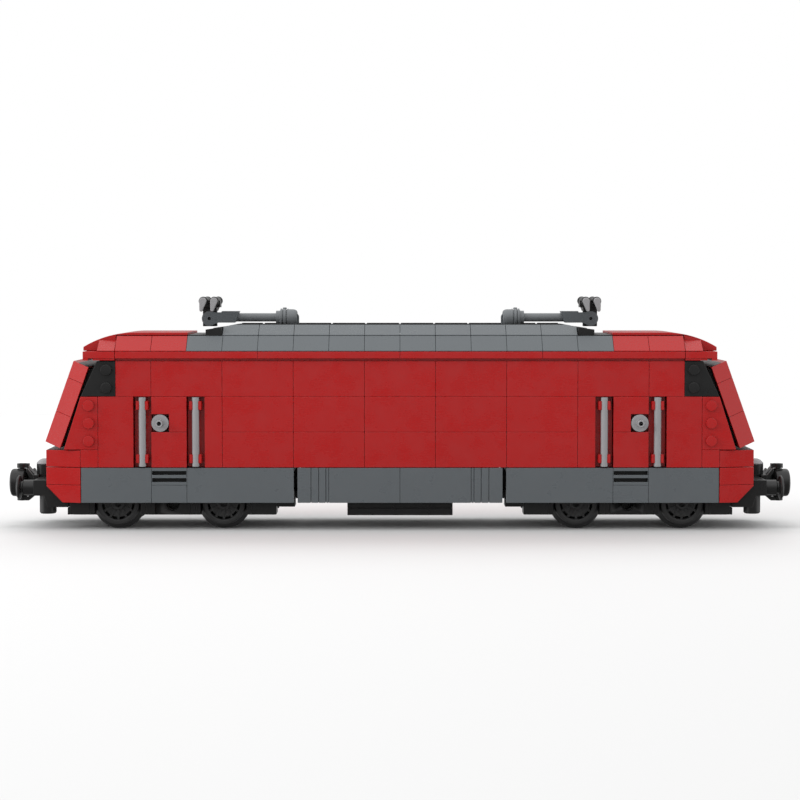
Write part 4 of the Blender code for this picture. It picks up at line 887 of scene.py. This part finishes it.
def fairings():
    for end_name, end in ENDS.items():
        node = [f"nose_fairing_{end_name}"]
        body = f"bogie_{end_name}"
        wing = [(144.0, 25.3), (144.0, FACE), (NOSE_TIP, 26.4), (NOSE_TIP, 25.3)]
        upper = across(prism(wing, "z", SKIRT_HALF + SEAM, 28.65))
        front = [(150.3, -25.2), (NOSE_TIP, -25.2), (NOSE_TIP, 25.2), (150.3, 25.2)]
        row = prism(front, "z", SKIRT_HALF + SEAM, 28.65, 0)
        wing_low = [(144.0, 25.3), (144.0, FACE), (NOSE_TIP, 26.4)]
        wing_low += [(NOSE_TIP, 24.4), (151.3, 24.4), (151.3, 25.3)]
        cheek = prism(wing_low, "z", SKIRT_BOTTOM, SKIRT_HALF - SEAM, 0)
        diagonal = prism([(151.9, 12.3), (162.2, 22.3), (163.0, 12.3)], "y", -40, 40, 0)
        shapes = upper + [softened(carved(row, [diagonal]), 0.12)]
        shapes += across(softened(carved(cheek, [diagonal]), 0.12))
        piece(f"fairing_bricks_{end_name}", "red", body, shapes, node, end=end)


def buffers():
    for end_name, end in ENDS.items():
        node = [f"buffer_beam_{end_name}"]
        body = f"bogie_{end_name}"
        outline = [(166.4, 22.5), (160.4, 22.5), (160.4, 20.2), (152.0, 12.2), (150.4, 12.2), (150.4, 10.2)]
        outline += [(160.0, 10.2), (161.6, 15.4), (166.4, 15.4)]
        beam = [prism(outline, "y", *studs(low, low + 2)) for low in (-3, -1, 1)]
        post = [(0, 7.1), (3.3, 7.1), (3.8, 7.7), (3.8, 17.4), (3.2, 18.0), (0, 18.0)]
        beam += across(lathe(post, POST_PLACE, "z", ROUND, 0.12))
        piece(f"beam_bricks_{end_name}", "black", body, beam, node, end=end)
        profile = [
            (0, 165.5),
            (3.5, 165.5),
            (3.5, 171.2),
            (2.7, 171.5),
            (2.7, 172.3),
            (5.1, 172.7),
            (5.55, 173.0),
            (5.55, 173.5),
            (4.6, 174.25),
            (3.4, 174.4),
            (0, 174.4),
        ]
        disc = across(lathe(profile, BUFFER_PLACE, "x", ROUND, 0.08))
        piece(f"buffers_{end_name}", "black", body, disc, node, end=end)


def couplers():
    for end_name, end in ENDS.items():
        node = [f"coupler_holder_{end_name}"]
        body = f"bogie_{end_name}"
        web = [(166.8, 14.8), (166.8, 22.4), (168.6, 22.4), (172.2, 26.2), (172.2, 28.2), (175.5, 28.2)]
        web += [(175.5, 26.2), (173.1, 26.2), (172.3, 25.2), (172.3, 13.2), (173.1, 12.75), (175.5, 12.75)]
        web += [(175.5, 11.1), (172.2, 11.1), (168.6, 14.2)]
        shapes = [prism(web, "y", -1.8, 1.8, 0.15)]
        shapes.append(block((166.8, 169.6), (-6.0, 6.0), (14.2, 23.4), 0.3))
        brace = [(169.6, 22.9), (169.6, 20.0), (172.6, 24.4), (172.6, 26.6)]
        shapes.append(prism(brace, "y", -5.2, 5.2, 0.2))
        shapes.append(tube(2.35, 1.25, MAGNET_PIVOT, "z", 26.2, 28.2))
        shapes.append(tube(2.35, 1.25, MAGNET_PIVOT, "z", 11.1, 12.75))
        piece(f"coupler_bracket_{end_name}", "black", body, shapes, node, end=end)
        shapes = [rod(4.1, COLUMN_PLACE, "z", 22.4, 28.0, 0.12, ROUND)]
        piece(f"coupler_column_{end_name}", "black", body, shapes, node, end=end)
        cap = [(0, 28.1), (4.1, 28.1), (4.1, 28.6), (2.8, 29.9), (1.5, 30.5), (0, 30.6)]
        shapes = [lathe(cap, COLUMN_PLACE, "z", ROUND, 0.12)]
        piece(f"column_cap_{end_name}", "pale", body, shapes, node, end=end)
        drum = [
            (0, 173.6),
            (5.2, 173.6),
            (6.1, 174.2),
            (6.4, 174.9),
            (6.4, 179.1),
            (6.25, 179.8),
            (5.8, 180.3),
            (5.0, 180.6),
            (4.5, 180.3),
            (0, 180.3),
        ]
        swing = f"coupler_{end_name}"
        shapes = [lathe(drum, (0, 0, MAGNET_Z), "x", ROUND, GAP)]
        shapes.append(rod(1.0, MAGNET_PIVOT, "z", 11.9, 27.2, 0.12))
        barrel = [(0, 12.9), (2.0, 12.9), (2.0, 13.1), (2.95, 13.1)]
        barrel += [(2.95, 25.0), (2.0, 25.0), (2.0, 25.9), (0, 25.9)]
        shapes.append(lathe(barrel, MAGNET_PIVOT, "z", SMALL_ROUND, 0.15))
        piece(f"magnet_drum_{end_name}", "black", swing, shapes, [f"coupler_magnet_{end_name}"], end=end)


# ---- Wheelsets ------------------------------------------------------------------------------
def wheel(place):
    """Flanged rim, dished web with a ring of slots, raised ribs and a hub."""
    centre = (place, 0, AXLE_Z)
    rim = [
        (7.35, 16.4),
        (11.6, 16.2),
        (12.0, 16.6),
        (12.0, 17.1),
        (11.3, 17.6),
        (10.3, 18.2),
        (10.0, 18.7),
        (9.7, 23.0),
        (9.3, 23.4),
        (7.7, 23.4),
        (7.35, 22.9),
    ]
    web = [
        (1.9, 18.4),
        (7.45, 18.4),
        (7.45, 21.0),
        (6.5, 21.0),
        (6.5, 22.5),
        (6.2, 22.8),
        (5.8, 22.8),
        (5.6, 22.3),
        (3.5, 22.3),
        (3.0, 22.6),
        (3.0, 23.7),
        (2.7, 24.0),
        (1.8, 24.0),
        (1.5, 23.7),
        (1.5, 22.95),
        (0, 22.95),
        (0, 22.6),
        (1.9, 22.6),
    ]
    shapes = [lathe(rim, centre, "y", 64, 0), lathe(web, centre, "y", 48, 0)]
    rib = block((place + 2.8, place + 7.6), (20.6, 22.75), (AXLE_Z - 0.55, AXLE_Z + 0.55), 0.12)
    for spoke in range(SPOKES):
        shapes.append(turned_about(rib, centre, "Y", 360.0 * spoke / SPOKES))
    return shapes


def wheelsets():
    for end_name, end in ENDS.items():
        for place_name, place in AXLES.items():
            body = f"wheelset_{end_name}_{place_name}"
            node = [f"axle_{end_name}_{place_name}"]
            shapes = [rod(AXLE_RADIUS, (place, 0, AXLE_Z), "y", -22.4, 22.4, 0.25)]
            piece(f"steel_axle_{end_name}_{place_name}", "steel", body, shapes, node, end=end)
            for side_name, side in SIDES.items():
                node = [f"wheel_{end_name}_{place_name}_{side_name}"]
                name = f"rolling_wheel_{end_name}_{place_name}_{side_name}"
                piece(name, "tyre", body, wheel(place), node, end=end, side=side)


# ---- Studio ---------------------------------------------------------------------------------
def studio():
    lay_floor()
    light_world()
    for name, (place, power) in LAMPS.items():
        lamp = bpy.data.lights.new(name, "AREA")
        lamp.size = LAMP_SIZE
        lamp.energy = power
        softbox = bpy.data.objects.new(name, lamp)
        bpy.context.scene.collection.objects.link(softbox)
        softbox.location = place
        softbox.visible_glossy = False
        aim = Vector(LAMP_AIM) - softbox.location
        softbox.rotation_euler = aim.to_track_quat("-Z", "Y").to_euler()

    view = bpy.data.cameras.new("side_view")
    view.sensor_width = CAMERA_SENSOR
    view.lens = CAMERA_LENS
    camera = bpy.data.objects.new("side_view", view)
    bpy.context.scene.collection.objects.link(camera)
    camera.location = CAMERA_PLACE
    camera.rotation_euler = (CAMERA_PITCH, 0, 0)
    bpy.context.scene.camera = camera


def lay_floor():
    """A plain pale disc to stand on."""
    disc = bmesh.new()
    bmesh.ops.create_circle(disc, cap_ends=True, segments=96, radius=FLOOR_RADIUS)
    floor_mesh = mesh_of(disc)
    floor = bpy.data.objects.new("floor", floor_mesh)
    bpy.context.scene.collection.objects.link(floor)
    floor.visible_glossy = False
    surface = bpy.data.materials.new("floor_white")
    surface.use_nodes = True
    shader = surface.node_tree.nodes["Principled BSDF"]
    shader.inputs["Base Color"].default_value = (FLOOR_SHADE, FLOOR_SHADE, FLOOR_SHADE, 1)
    shader.inputs["Roughness"].default_value = 0.9
    shader.inputs["Specular IOR Level"].default_value = 0.0
    floor_mesh.materials.append(surface)


def light_world():
    """A white backdrop, an even dome for diffuse light, and soft panels that only gloss reflects."""
    scene = bpy.context.scene
    scene.view_settings.view_transform = "Standard"
    world = bpy.data.worlds.new("studio")
    scene.world = world
    world.use_nodes = True
    world.cycles.sampling_method = "NONE"
    tree = world.node_tree
    backdrop = tree.nodes["Background"]
    backdrop.inputs["Color"].default_value = (1, 1, 1, 1)
    backdrop.inputs["Strength"].default_value = 1.0
    dome = add_node(tree, "ShaderNodeBackground", {"Color": (1, 1, 1, 1), "Strength": DOME})
    mirror = add_node(tree, "ShaderNodeBackground", {"Color": (1, 1, 1, 1)})
    direction = add_node(tree, "ShaderNodeTexCoord").outputs["Generated"]
    split = add_node(tree, "ShaderNodeSeparateXYZ")
    tree.links.new(direction, split.inputs["Vector"])
    overhead = remapped(tree, split.outputs["Z"], 0.0, 0.75, 0.12, 1.2)
    behind = remapped(tree, split.outputs["Y"], 0.4, 0.9, 0.0, 0.45)
    leftward = remapped(tree, split.outputs["X"], -0.7, -0.95, 0.0, 1.4)
    rightward = remapped(tree, split.outputs["X"], 0.7, 0.95, 0.0, 1.0)
    glow = maths(tree, "MAXIMUM", overhead, behind)
    glow = maths(tree, "MAXIMUM", glow, maths(tree, "MAXIMUM", leftward, rightward))
    tree.links.new(glow, mirror.inputs["Strength"])
    path = add_node(tree, "ShaderNodeLightPath")
    for_gloss = add_node(tree, "ShaderNodeMixShader")
    tree.links.new(path.outputs["Is Glossy Ray"], for_gloss.inputs[0])
    tree.links.new(dome.outputs[0], for_gloss.inputs[1])
    tree.links.new(mirror.outputs[0], for_gloss.inputs[2])
    for_camera = add_node(tree, "ShaderNodeMixShader")
    tree.links.new(path.outputs["Is Camera Ray"], for_camera.inputs[0])
    tree.links.new(for_gloss.outputs[0], for_camera.inputs[1])
    tree.links.new(backdrop.outputs[0], for_camera.inputs[2])
    tree.links.new(for_camera.outputs[0], tree.nodes["World Output"].inputs["Surface"])


side_walls()
cab_sides()
skirts()
floor_and_tank()
roof()
cab_roofs()
noses()
panels()
pantographs()
bogie_frames()
fairings()
buffers()
couplers()
wheelsets()
studio()
